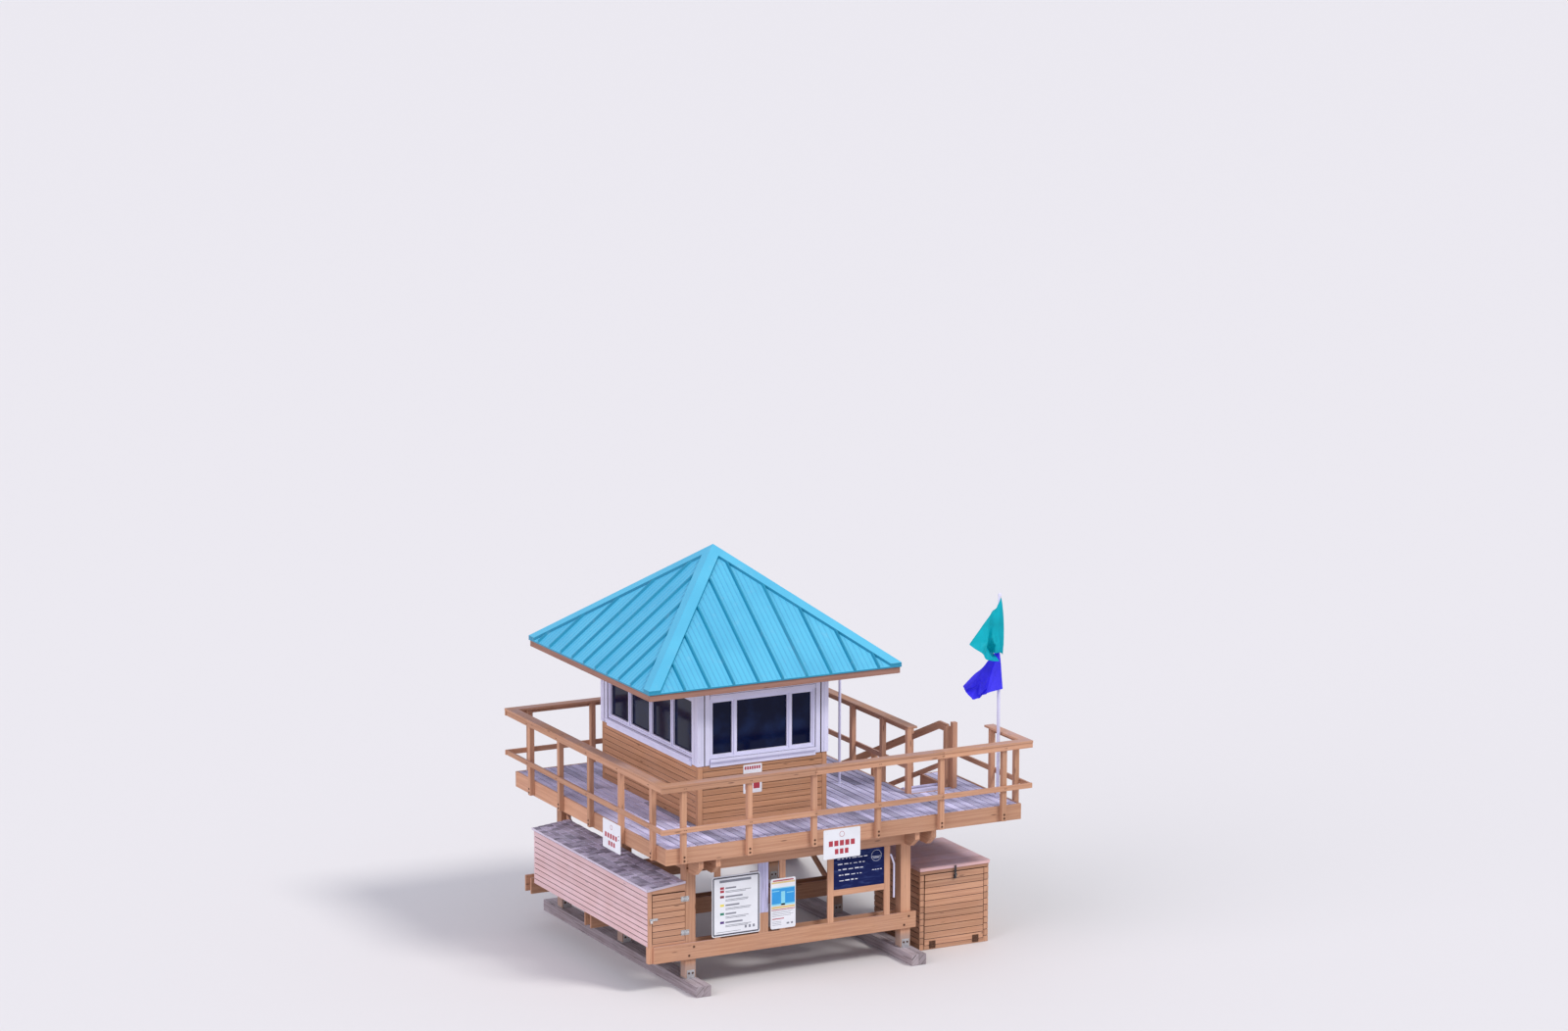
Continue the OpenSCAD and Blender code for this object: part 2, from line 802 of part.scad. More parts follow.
// long board locker: floor, walls, a framed front and a short corner post under it
module locker_body() {
  foot_lap = 20;
  color(c_stain) {
    block([locker_x, locker_x + foot_w], [locker_y0, locker_y0 + foot_w],
          [tie_under, locker_z0 + foot_lap]);
    difference() {
      translate([locker_x1 - mid_x, -mid_y, 0])
        rotate([90, 0, 0])
          mirror([1, 0, 0])
            translate([0, 0, -locker_y1])
              linear_extrude(locker_d)
                polygon([[0, locker_z0], [locker_x1 - locker_x, locker_z0],
                         [locker_x1 - locker_x, locker_z1], [0, locker_z1 + locker_rise]]);
      block([locker_x + locker_t, locker_x1 - locker_t], [locker_y0 + locker_t, locker_y1 - locker_t],
            [locker_z0 + locker_t, locker_z1 + locker_rise + eps]);
      block(locker_opening, [locker_y0 - eps, locker_y0 + locker_t + eps],
            [locker_z0 + leaf_sill, locker_z1 - leaf_head]);
    }
  }
}

// shingled slab with a small eave on the left
module locker_roof() {
  t = 45;
  eave = 35;
  end = 20;
  low_x = locker_x1 - locker_x + eave;
  low_z = locker_z1 - eave * locker_rise / (locker_x1 - locker_x);
  color(c_grey)
    translate([locker_x1 - mid_x, -mid_y, 0])
      rotate([90, 0, 0])
        mirror([1, 0, 0])
          translate([0, seat, -locker_y1 - end])
            linear_extrude(locker_d + 2 * end)
              polygon([[0, locker_z1 + locker_rise], [low_x, low_z], [low_x, low_z + t],
                       [0, locker_z1 + locker_rise + t]]);
}

leaf_x = [locker_opening[0] + leaf_gap, locker_opening[1] - leaf_gap];
leaf_z = [locker_z0 + leaf_sill + leaf_gap, locker_z1 - leaf_head - leaf_gap];
pin_in = 12;
pin_d = 7;
knuckle_d = 14;
knuckle_gap = 0.5;
leaf_plate = 6;
locker_pin = [locker_x1 - leaf_gap / 2, locker_y0 - pin_in];
hinge_in = 130;
hinge_z = [leaf_z[0] + hinge_in, leaf_z[1] - hinge_in];
hinge_l = 90;
plate_leaf = 80;
plate_post = 70;
plate_sill = 50;

// fixed half of a butt hinge: pin on the local Z axis, its plate on the face y = pin_in
module hinge_fixed(len, wide) {
  third = len / 6 + knuckle_gap;
  cylinder(h = len, d = pin_d, center = true, $fn = 32);
  for (s = [-1, 1])
    translate([0, 0, s * (len / 2 + third) / 2])
      cylinder(h = len / 2 - third, d = knuckle_d, center = true, $fn = 32);
  difference() {
    translate([0, pin_in - leaf_plate, -len / 2])
      cube([wide, leaf_plate, len]);
    translate([-eps, 0, -third])
      cube([eps + knuckle_d / 2 + 1, knuckle_d, 2 * third]);
  }
}

// moving half on the other side, its middle knuckle bored for the pin
module hinge_moving(len, wide) {
  third = len / 6;
  difference() {
    union() {
      cylinder(h = 2 * third, d = knuckle_d, center = true, $fn = 32);
      translate([-wide, pin_in - leaf_plate, -len / 2])
        cube([wide, leaf_plate, len]);
    }
    cylinder(h = len, d = pin_d + 2 * seat, center = true, $fn = 32);
    for (z = [-len / 2 - eps, third])
      translate([-knuckle_d / 2 - 1, 0, z])
        cube([knuckle_d, knuckle_d, len / 2 + eps - third]);
  }
}

module locker_door() {
  color(c_stain)
    block(leaf_x, [locker_y0, locker_y0 + leaf_t], leaf_z);
}

hasp_w = 40;
hasp_t = 4;
hasp_off = 8;
staple_in = 40;
staple_w = 50;
lock_w = 45;
lock_t = 24;
lock_h = 60;

// moving hinge halves, hasp strap and padlock body that ride on the locker door
module locker_hasp() {
  strap_in = 20;
  lock_in = 25;
  lock_down = 15;
  z = (leaf_z[0] + leaf_z[1]) / 2;
  y = locker_y0 - hasp_off;
  pad_x = leaf_x[0] + staple_in;
  lock_x = locker_x + lock_in;
  color(c_zinc) {
    for (h = hinge_z)
      translate([locker_pin[0] - mid_x, locker_pin[1] - mid_y, h])
        hinge_moving(hinge_l, plate_leaf);
    block([pad_x, pad_x + staple_w], [y, locker_y0], [z - hasp_w / 2, z + hasp_w / 2]);
    block([locker_x + strap_in, pad_x + staple_w], [y - hasp_t, y],
          [z - hasp_w / 2, z + hasp_w / 2]);
    block([lock_x, lock_x + lock_w], [y - hasp_t - lock_t, y - hasp_t],
          [z - lock_down - lock_h, z - lock_down]);
  }
}

box_x = deck_w - box_in;
box_x1 = box_x + box_w;
box_y1 = box_y + box_d;
drop_x = [box_x + stile_w, box_x1 - stile_w];
drop_sill = 70;
drop_head = 60;
drop_z = [drop_sill, box_h - drop_head];
pin_down = 2;
drop_pin = [box_y - pin_in, drop_z[0] - pin_down];

module cabinet_body() {
  color(c_stain)
    difference() {
      block([box_x, box_x1], [box_y, box_y1], [0, box_h]);
      block([box_x + box_t, box_x1 - box_t], [box_y + box_t, box_y1 - box_t], [box_t, box_h + eps]);
      block(drop_x, [box_y - eps, box_y + box_t + eps], drop_z);
    }
}

lid_over = 25;
lid_side = 15;

module cabinet_lid() {
  color(c_stain)
    block([box_x - lid_side, box_x1 + lid_side], [box_y - lid_over, box_y1 + lid_side],
          [box_h, box_h + lid_t]);
}

module cabinet_door() {
  color(c_stain)
    block([drop_x[0] + leaf_gap, drop_x[1] - leaf_gap], [box_y, box_y + box_t],
          [drop_z[0] + leaf_gap, drop_z[1] - leaf_gap]);
}

drop_hinge_in = 160;
drop_hinge_x = [drop_x[0] + drop_hinge_in, drop_x[1] - drop_hinge_in];
drop_hinge_l = 120;

// fixed hinge halves with their pins, on the main post and under the drop door
module leaf_hinges() {
  color(c_zinc) {
    for (z = hinge_z)
      translate([locker_pin[0] - mid_x, locker_pin[1] - mid_y, z])
        hinge_fixed(hinge_l, plate_post);
    for (x = drop_hinge_x)
      translate([x - mid_x, drop_pin[0] - mid_y, drop_pin[1]])
        rotate([0, 90, 0])
          hinge_fixed(drop_hinge_l, plate_sill);
  }
}

// moving hinge halves, hasp strap and padlock body that ride on the drop door
module cabinet_hasp() {
  staple_down = 120;
  staple_h = 60;
  strap_short = 15;
  lock_down = 30;
  x = (box_x + box_x1) / 2;
  y = box_y - lid_over - hasp_off;
  top = drop_z[1] - leaf_gap;
  color(c_zinc) {
    for (h = drop_hinge_x)
      translate([h - mid_x, drop_pin[0] - mid_y, drop_pin[1]])
        rotate([0, 90, 0])
          hinge_moving(drop_hinge_l, plate_leaf);
    block([x - hasp_w / 2, x + hasp_w / 2], [y, box_y],
          [top - staple_down, top - staple_down + staple_h]);
    block([x - hasp_w / 2, x + hasp_w / 2], [y - hasp_t, y],
          [top - staple_down, box_h + lid_t - strap_short]);
    block([x - lock_w / 2, x + lock_w / 2], [y - hasp_t - lock_t, y - hasp_t],
          [top - lock_down - lock_h, top - lock_down]);
  }
}

board_y = post_in - post_w / 2 - plank_t;
sheet_t = 18;
slate_t = 12;
legend_x = [1050, 1945];
legend_h = 1040;
safety_x = [2150, 2620];
safety_h = 870;
sheet_up = 35;
frame_x = [3245, 4440];
frame_w = 110;
slate_up = 560;
rail_up = 455;

// sheets fixed to the front of their uprights, just above the tie beam
module notice_boards() {
  y = [board_y - sheet_t, board_y];
  color(c_white) {
    block(legend_x, y, [tie_top + sheet_up, tie_top + sheet_up + legend_h]);
    block(safety_x, y, [tie_top + sheet_up, tie_top + sheet_up + safety_h]);
  }
}

// uprights from the tie beam to the header plank, with a rail under the slate
module board_uprights() {
  y = [board_y, board_y + plank_t];
  z = [tie_top, girder_under];
  wide_w = 185;
  first_x = legend_x[0] + 60;
  wide_x = legend_x[1] - 15;
  third_x = safety_x[0] + 180;
  color(c_stain) {
    block([first_x, first_x + frame_w], y, z);
    block([wide_x, wide_x + wide_w], y, z);
    block([third_x, third_x + frame_w], y, z);
    block([frame_x[0], frame_x[0] + frame_w], y, z);
    block([frame_x[1] - frame_w, frame_x[1]], y, z);
    block([frame_x[0] + frame_w, frame_x[1] - frame_w], y, [tie_top + rail_up, tie_top + slate_up]);
  }
}

module chalk_slate() {
  y = board_y + (plank_t - slate_t) / 2;
  color(c_slate)
    block([frame_x[0] + frame_w, frame_x[1] - frame_w], [y, y + slate_t],
          [tie_top + slate_up, girder_under]);
}

rim_sign = [700, 510];
rim_sign_in = 206;
rim_sign_x = front_posts[2] + rim_sign_in;
rim_sign_down = 20;
side_sign = [760, 660];
side_sign_in = 120;
side_sign_y = left_posts[1] - side_sign_in;
side_sign_up = 220;
wall_sign = [350, 495];
wall_sign_in = 850;
wall_sign_x = cabin_x + wall_sign_in;
wall_sign_up = 470;

// plates on the rim, on a rail post of the left side and on the front wall
module sign_plates() {
  color(c_white) {
    block([rim_sign_x, rim_sign_x + rim_sign[0]], [-sign_t, 0],
          [deck_h - rim_sign_down - rim_sign[1], deck_h - rim_sign_down]);
    block([-baluster_w - sign_t, -baluster_w], [side_sign_y, side_sign_y + side_sign[0]],
          [deck_h + side_sign_up - side_sign[1], deck_h + side_sign_up]);
    block([wall_sign_x, wall_sign_x + wall_sign[0]], [cabin_y - sign_t, cabin_y],
          [deck_h + wall_sign_up, deck_h + wall_sign_up + wall_sign[1]]);
  }
}

bent_d = 32;
bent_out = [0, 25, 85];
bent_drop = [166, 166, 331, 921];

// round bar between two points of the plane y = 0
module bar(a, b, d) {
  run = b[0] - a[0];
  rise = b[1] - a[1];
  translate([a[0], 0, a[1]])
    rotate([0, 90 - atan2(rise, run), 0])
      cylinder(h = norm([run, rise]), d = d, $fn = 32);
}

// white pipe fixed to the right upright, bent out and hanging down
module bent_pipe() {
  color(c_white)
    translate([frame_x[1] - mid_x, board_y + plank_t / 2 - mid_y, girder_under])
      union() {
        bar([bent_out[0], -bent_drop[0]], [bent_out[1], -bent_drop[1]], bent_d);
        bar([bent_out[1], -bent_drop[1]], [bent_out[2], -bent_drop[2]], bent_d);
        bar([bent_out[2], -bent_drop[2]], [bent_out[2], -bent_drop[3]], bent_d);
        for (k = [1, 2])
          translate([bent_out[k], 0, -bent_drop[k]])
            sphere(d = bent_d, $fn = 32);
      }
}

pole_in = 70;
pole_x = deck_w - plank_t - pole_in;
pole_y = 620;
cloth_t = 30;
cloth_x = pole_x - pole_d / 2 - seat;

module flagpole() {
  color(c_white)
    translate([pole_x - mid_x, pole_y - mid_y, deck_h])
      union() {
        cylinder(h = pole_h, d = pole_d, $fn = 48);
        cylinder(h = flange_t, d = flange_d, $fn = 48);
      }
}

// hanging cloth from its outline in x and z, measured from the hoist and the pole's top,
// on the land side (-1) or the sea side (1) of the halyard
module cloth(outline, side) {
  y = pole_y + side * (cloth_t + seat) / 2;
  translate([cloth_x - mid_x, y + cloth_t / 2 - mid_y, deck_h + pole_h])
    rotate([90, 0, 0])
      linear_extrude(cloth_t)
        polygon(outline);
}

module flag_green() {
  color(c_green)
    cloth([[0, -40], [-633, -890], [-140, -1160], [0, -1110]], -1);
}

module flag_purple() {
  color(c_purple)
    cloth([[0, -960], [-504, -1430], [-463, -1890], [-200, -1760], [0, -1665]], 1);
}

skids();
post_shoes();
main_posts();
girders();
tie_beams();
joists();
rims();
deck_boards();
rail_front();
rail_left();
rail_right();
rail_back();
rail_porch();
ramp_frame();
ramp_boards();
ramp_rails();
wall_front();
wall_back();
wall_left();
wall_right();
window_frames();
window_glass();
cabin_door();
ceiling();
fascia();
roof_metal();
hip_caps();
eave_pipe();
locker_body();
locker_roof();
locker_door();
locker_hasp();
leaf_hinges();
cabinet_body();
cabinet_lid();
cabinet_door();
cabinet_hasp();
notice_boards();
board_uprights();
chalk_slate();
sign_plates();
bent_pipe();
flagpole();
flag_green();
flag_purple();
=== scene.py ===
import math
import random

import bpy
from mathutils import Euler, Matrix, Vector


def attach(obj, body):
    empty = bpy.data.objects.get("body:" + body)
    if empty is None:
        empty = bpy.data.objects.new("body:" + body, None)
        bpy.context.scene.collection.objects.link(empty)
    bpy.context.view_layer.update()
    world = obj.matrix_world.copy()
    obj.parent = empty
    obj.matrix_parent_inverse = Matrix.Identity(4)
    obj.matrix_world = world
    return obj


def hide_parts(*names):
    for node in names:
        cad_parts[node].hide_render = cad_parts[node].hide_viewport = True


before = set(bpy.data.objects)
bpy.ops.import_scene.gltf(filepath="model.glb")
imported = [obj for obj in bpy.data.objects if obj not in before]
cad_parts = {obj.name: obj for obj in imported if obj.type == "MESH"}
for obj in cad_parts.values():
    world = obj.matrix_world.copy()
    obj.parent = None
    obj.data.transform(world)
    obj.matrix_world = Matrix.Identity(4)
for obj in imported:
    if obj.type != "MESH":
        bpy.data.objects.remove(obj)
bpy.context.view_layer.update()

# Camera: on the land side, left of the tower and a little above its deck, far off with a
# long lens, so that the deck's front and left sides both show.
look_yaw, look_pitch, look_roll = -0.4814, 0.19574, 0.00243
sight = Vector((-math.sin(look_yaw) * math.cos(look_pitch),
                math.cos(look_yaw) * math.cos(look_pitch), -math.sin(look_pitch)))
level = sight.cross(Vector((0, 0, 1))).normalized()
upright = level.cross(sight)
frame_right = math.cos(look_roll) * level + math.sin(look_roll) * upright
frame_up = math.cos(look_roll) * upright - math.sin(look_roll) * level
bpy.ops.object.camera_add(location=(-37.782, -73.910, 23.676))
camera = bpy.context.object
camera.rotation_euler = Matrix((frame_right, frame_up, -sight)).transposed().to_euler()
camera.data.sensor_width = 36
camera.data.lens = 112.5
camera.data.clip_end = 500
bpy.context.scene.camera = camera

# Skids: two pairs of heavy sawn timbers that lie on the sand and carry the whole tower.
# Bare pine gone silver grey, with long drying cracks. Every later timber is laid the same
# way: a stick is given by its sides in metres from the left, the front and the floor.
deck_mid = Vector((3.380, 3.889, 0))


def at(x, y, z):
    """A place in metres from the left, the front and the floor, in the shared frame."""
    return Vector((x, y, z)) - deck_mid


def lay_grain(piece, seed, by_face=False):
    """UV map grain runs along each timber in metres; UV map tone is one random spot each."""
    mesh = piece.data
    corner = [v.co.copy() for v in mesh.vertices]
    owner = list(range(len(corner)))

    def root(k):
        while owner[k] != k:
            owner[k] = owner[owner[k]]
            k = owner[k]
        return k

    for edge in mesh.edges:
        a, b = root(edge.vertices[0]), root(edge.vertices[1])
        owner[max(a, b)] = min(a, b)
    timber, lot = {}, random.Random(seed)
    for face in mesh.polygons:
        key = face.index if by_face else root(face.vertices[0])
        ring = list(face.vertices)
        sides = [corner[ring[i - 1]] - corner[ring[i]] for i in range(len(ring))]
        longest = max(sides, key=lambda s: s.length)
        if key not in timber or longest.length > timber[key][0].length:
            timber[key] = (longest,) + (timber[key][1:] if key in timber
                                        else (lot.random(), lot.random()))
    grain = mesh.uv_layers.new(name="grain")
    tone = mesh.uv_layers.new(name="tone")
    for face in mesh.polygons:
        along, r1, r2 = timber[face.index if by_face else root(face.vertices[0])]
        along = along.normalized()
        if abs(face.normal.dot(along)) > 0.8:
            along = face.normal.orthogonal().normalized()
        across = face.normal.cross(along)
        across = across if across.dot(Vector((1, 1.01, 1.02))) > 0 else -across
        for k in face.loop_indices:
            co = corner[mesh.loops[k].vertex_index]
            grain.data[k].uv = (co.dot(along), co.dot(across) + co.dot(face.normal))
            tone.data[k].uv = (r1, r2)


def round_edges(piece, width, steps=2):
    """Planed or worn arrises on every sharp edge."""
    bpy.context.view_layer.objects.active = piece
    bpy.ops.object.modifier_add(type="BEVEL")
    arris = piece.modifiers[-1]
    arris.width, arris.segments, arris.limit_method = width, steps, "ANGLE"
    arris.angle_limit = math.radians(30)
    bpy.ops.object.modifier_apply(modifier=arris.name)


def blank(name):
    """An empty mesh object in edit mode, ready for primitives."""
    bpy.ops.object.select_all(action="DESELECT")
    bpy.ops.mesh.primitive_cube_add(size=1)
    piece = bpy.context.object
    piece.name = piece.data.name = name
    bpy.ops.object.mode_set(mode="EDIT")
    bpy.ops.mesh.delete(type="VERT")
    return piece


def slab(place, size, turn=(0, 0, 0)):
    """Adds a box, given by its middle, its size and its turn."""
    bpy.ops.mesh.primitive_cube_add(size=1, location=place, rotation=turn, scale=size)


def closed(piece, finish, arris=0.0, steps=2, seed=None, by_face=False):
    """Ends the edit; the piece gets its grain, if it is wood, its arrises and its finish."""
    bpy.ops.object.mode_set(mode="OBJECT")
    if seed is not None:
        lay_grain(piece, seed, by_face)
    if arris:
        round_edges(piece, arris, steps)
    piece.data.materials.append(finish)
    return piece


def timbers(name, sticks, finish, arris=0.004, steps=2, seed=1):
    """One piece of sawn timbers, each given by its six sides."""
    piece = blank(name)
    for x0, x1, y0, y1, z0, z1 in sticks:
        slab(at((x0 + x1) / 2, (y0 + y1) / 2, (z0 + z1) / 2), (x1 - x0, y1 - y0, z1 - z0))
    return closed(piece, finish, arris, steps, seed)


def node(tree, kind, inputs=None, **settings):
    """A shader node with its settings, and its inputs given as numbers or as links."""
    made = tree.nodes.new(kind)
    for key, value in settings.items():
        setattr(made, key, value)
    for key, value in (inputs or {}).items():
        if isinstance(value, bpy.types.NodeSocket):
            tree.links.new(value, made.inputs[key])
        else:
            made.inputs[key].default_value = value
    return made


def blend_colours(tree, factor, first, second, way="MIX"):
    """The colour socket of first and second mixed by factor."""
    mix = node(tree, "ShaderNodeMix", data_type="RGBA", blend_type=way)
    for socket, value in ((mix.inputs[0], factor), (mix.inputs[6], first), (mix.inputs[7], second)):
        if isinstance(value, bpy.types.NodeSocket):
            tree.links.new(value, socket)
        else:
            socket.default_value = value if isinstance(value, (int, float)) else (*value, 1)
    return mix.outputs[2]


def ramp(tree, factor, low, high):
    """0 below low and 1 above high, smooth between."""
    return node(tree, "ShaderNodeMapRange", {0: factor, 1: low, 2: high},
                interpolation_type="SMOOTHSTEP").outputs[0]


def maths(tree, way, *values):
    """A number worked out from values."""
    return node(tree, "ShaderNodeMath", dict(enumerate(values)), operation=way).outputs[0]


def stretched(tree, place, amounts):
    """The place with each axis multiplied by its amount."""
    return node(tree, "ShaderNodeVectorMath", {0: place, 1: amounts},
                operation="MULTIPLY").outputs[0]


def clouds(tree, place, scale, detail, **more):
    """Soft random clouds, from 0 to 1."""
    return node(tree, "ShaderNodeTexNoise", {"Vector": place, "Scale": scale, "Detail": detail,
                                             **more}).outputs[0]


def emboss(tree, shader, height, strength, depth):
    """Fine relief too small to model."""
    bump = node(tree, "ShaderNodeBump", {"Strength": strength, "Distance": depth,
                                         "Height": height})
    tree.links.new(bump.outputs[0], shader.inputs["Normal"])


def new_finish(name, roughness, metallic=0.0, specular=0.5):
    """A material with its tree and its Principled shader."""
    finish = bpy.data.materials.new(name)
    finish.use_nodes = True
    shader = finish.node_tree.nodes["Principled BSDF"]
    shader.inputs["Roughness"].default_value = roughness
    shader.inputs["Metallic"].default_value = metallic
    shader.inputs["Specular IOR Level"].default_value = specular
    return finish, finish.node_tree, shader


foot_grey = (0.42, 0.29, 0.24)


def wood_finish(name, pale, dark, bleached, bleach, crack, roughness=0.75, spread=0.14,
                grey_foot=0.0):
    """Sawn softwood: growth rings, fibres, knots, a tone of its own for each timber, faces
    that look up bleached by the sun, drying cracks, and feet gone grey below grey_foot."""
    finish, tree, shader = new_finish(name, roughness, specular=0.25)
    along = node(tree, "ShaderNodeUVMap", uv_map="grain").outputs[0]
    spot = node(tree, "ShaderNodeUVMap", uv_map="tone").outputs[0]
    place = node(tree, "ShaderNodeVectorMath", {0: spot, 1: (43, 29, 0), 2: along},
                 operation="MULTIPLY_ADD").outputs[0]

    def pattern(length, width, detail, distortion=0.0):
        return clouds(tree, stretched(tree, place, (length, width, 1)), 1.0, detail,
                      Roughness=0.6, Distortion=distortion)

    rings = ramp(tree, pattern(0.7, 30, 3, 0.6), 0.36, 0.66)
    fibres = pattern(5, 260, 4)
    knots = node(tree, "ShaderNodeTexVoronoi", {"Vector": stretched(tree, place, (1.6, 9, 1)),
                                                "Scale": 1.0})
    knot = ramp(tree, knots.outputs["Distance"], 0.13, 0.05)
    cracks = ramp(tree, pattern(1.1, 70, 2), 0.70 - crack, 0.74 - crack)
    colour = blend_colours(tree, rings, pale, dark)
    strands = node(tree, "ShaderNodeMapRange", {0: fibres, 1: 0.35, 2: 0.7, 4: 0.45}).outputs[0]
    colour = blend_colours(tree, strands, colour, [c * 0.8 for c in dark])
    colour = blend_colours(tree, knot, colour, [c * 0.45 for c in dark])
    where = node(tree, "ShaderNodeTexCoord")
    patches = clouds(tree, where.outputs["Object"], 1.7, 6.0)
    upward = node(tree, "ShaderNodeSeparateXYZ", {0: where.outputs["Normal"]}).outputs[2]
    amount = maths(tree, "MULTIPLY_ADD", ramp(tree, upward, 0.3, 0.95), 0.55, bleach)
    amount = maths(tree, "MULTIPLY", amount, ramp(tree, patches, 0.25, 0.75))
    colour = blend_colours(tree, amount, colour, bleached)
    own_tone = node(tree, "ShaderNodeSeparateXYZ", {0: spot}).outputs[0]
    light = node(tree, "ShaderNodeMapRange", {0: own_tone, 3: 1 - spread, 4: 1 + spread})
    grey = node(tree, "ShaderNodeCombineColor", {k: light.outputs[0] for k in range(3)})
    colour = blend_colours(tree, 1.0, colour, grey.outputs[0], "MULTIPLY")
    if grey_foot:
        height = node(tree, "ShaderNodeSeparateXYZ", {0: where.outputs["Object"]}).outputs[2]
        wet = maths(tree, "MULTIPLY_ADD", patches, 0.15, height)
        colour = blend_colours(tree, ramp(tree, wet, grey_foot + 0.10, grey_foot - 0.02),
                               colour, foot_grey)
    colour = blend_colours(tree, cracks, colour, [c * 0.25 for c in dark])
    tree.links.new(colour, shader.inputs["Base Color"])
    relief = maths(tree, "MULTIPLY_ADD", fibres, 0.5, rings)
    emboss(tree, shader, maths(tree, "MULTIPLY_ADD", cracks, -3.0, relief), 0.5, 0.0015)
    return finish


def fit(piece, slot, *nodes, body="tower"):
    """The piece rides on its body and stands for CAD nodes, whose parts it hides; slot is not used.
    """
    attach(piece, body)
    if nodes:
        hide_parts(*nodes)
    return piece


skid_wood = wood_finish("skid wood", (0.44, 0.38, 0.41), (0.24, 0.19, 0.20),
                        (0.52, 0.47, 0.53), 0.25, 0.08, 0.85, spread=0.2)
post_rows = (0.675, 4.765)
post_lines = (0.545, 2.980, 5.415)
skid_sticks = [(x + s * 0.14, x + (s + 1) * 0.14, -0.04, 6.0, 0, 0.19)
               for x in post_rows for s in (-1, 0)]
fit(timbers("skid_timbers", skid_sticks, skid_wood, arris=0.008, seed=3),
    "weathered_wood", "skids")

# Post shoes: folded galvanised plate under each main post, its two cheeks bolted through
# the post. Zinc with its grey spangle and a little white rust.


def zinc_finish(name, tint, rust):
    """Hot dipped zinc with its spangle, stained by white rust or by red."""
    finish, tree, shader = new_finish(name, 0.48, metallic=0.85)
    where = node(tree, "ShaderNodeTexCoord").outputs["Object"]
    spangle = node(tree, "ShaderNodeTexVoronoi", {"Vector": where, "Scale": 70.0})
    flakes = ramp(tree, spangle.outputs["Color"], 0.0, 1.0)
    stain = clouds(tree, where, 14.0, 8.0)
    colour = blend_colours(tree, flakes, [c * 0.72 for c in tint], tint)
    colour = blend_colours(tree, ramp(tree, stain, 0.60, 0.72), colour,
                           (0.30, 0.17, 0.10) if rust else (0.74, 0.75, 0.76))
    tree.links.new(colour, shader.inputs["Base Color"])
    emboss(tree, shader, stain, 0.15, 0.0006)
    return finish


quarter_turn = math.pi / 2
outward = {"-Y": (quarter_turn, 0, 0), "+Y": (-quarter_turn, 0, 0), "-X": (0, -quarter_turn, 0),
           "+X": (0, quarter_turn, 0)}


def rod(place, radius, length, turn=(0, 0, 0), sides=32):
    """Adds a round bar, given by its middle; it stands upright unless turned."""
    bpy.ops.mesh.primitive_cylinder_add(vertices=sides, radius=radius, depth=length,
                                        location=place, rotation=turn)


def bolts(name, spots, facing, finish, radius=0.011, sides=6, body="tower"):
    """Bolt or screw heads on washers at spots, looking along facing, on their body."""
    turn = outward[facing]
    out = Euler(turn).to_matrix() @ Vector((0, 0, 1))
    washer, head = 0.003, radius * 0.8
    piece = blank(name)
    for spot in spots:
        rod(at(*spot) + out * washer / 2, radius * 1.7, washer, turn, 12)
        rod(at(*spot) + out * (washer + head / 2), radius, head, turn, sides)
    fit(closed(piece, finish), "galvanised_steel", body=body)


zinc = zinc_finish("galvanised steel", (0.66, 0.67, 0.69), False)
rusty_zinc = zinc_finish("rusty bolt steel", (0.17, 0.09, 0.06), True)
shoe_sticks = []
shoe_bolts = {"-Y": [], "+Y": []}
skid_top, shoe_top, post_half = 0.19, 0.34, 0.095
plate_half, plate_t, cheek_half = 0.103, 0.008, 0.07
for x in post_rows:
    for y in post_lines:
        shoe_sticks.append((x - post_half, x + post_half, y - plate_half, y + plate_half,
                            skid_top, skid_top + plate_t))
        for side, facing in ((-1, "-Y"), (1, "+Y")):
            cheek = sorted((y + side * plate_half, y + side * (plate_half - plate_t)))
            shoe_sticks.append((x - cheek_half, x + cheek_half, *cheek, skid_top + plate_t,
                                shoe_top))
            shoe_bolts[facing] += [(x + dx, y + side * plate_half, 0.285)
                                   for dx in (-0.035, 0.035)]
fit(timbers("post_shoe_plates", shoe_sticks, zinc, arris=0.0015, seed=4),
    "galvanised_steel", "post_shoes")
for facing, spots in shoe_bolts.items():
    bolts("shoe_bolts_" + {"-Y": "front", "+Y": "back"}[facing], spots, facing, rusty_zinc)

# Main posts: six 190 mm square pine posts, slotted at the head so that the girder drops in.
# Stained with the same orange brown oil as the rest of the tower's frame.


def opened(piece):
    """Takes the piece alone into edit mode, with all of it selected."""
    bpy.ops.object.select_all(action="DESELECT")
    piece.select_set(True)
    bpy.context.view_layer.objects.active = piece
    bpy.ops.object.mode_set(mode="EDIT")
    bpy.ops.mesh.select_all(action="SELECT")


def shaped(name, node_name, finish, arris=0.004, steps=2, seed=1):
    """A timber piece with cut shapes: the solid's own faces, cleaned, with worn arrises."""
    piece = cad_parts[node_name].copy()
    piece.data = piece.data.copy()
    for tag in list(piece.keys()):
        del piece[tag]
    piece.parent = None
    piece.name = piece.data.name = name
    bpy.context.scene.collection.objects.link(piece)
    piece.data.materials.clear()
    for layer in list(piece.data.uv_layers):
        piece.data.uv_layers.remove(layer)
    opened(piece)
    bpy.ops.mesh.remove_doubles(threshold=0.00005)
    bpy.ops.mesh.dissolve_limited(angle_limit=math.radians(2))
    return closed(piece, finish, arris, steps, seed, by_face=True)


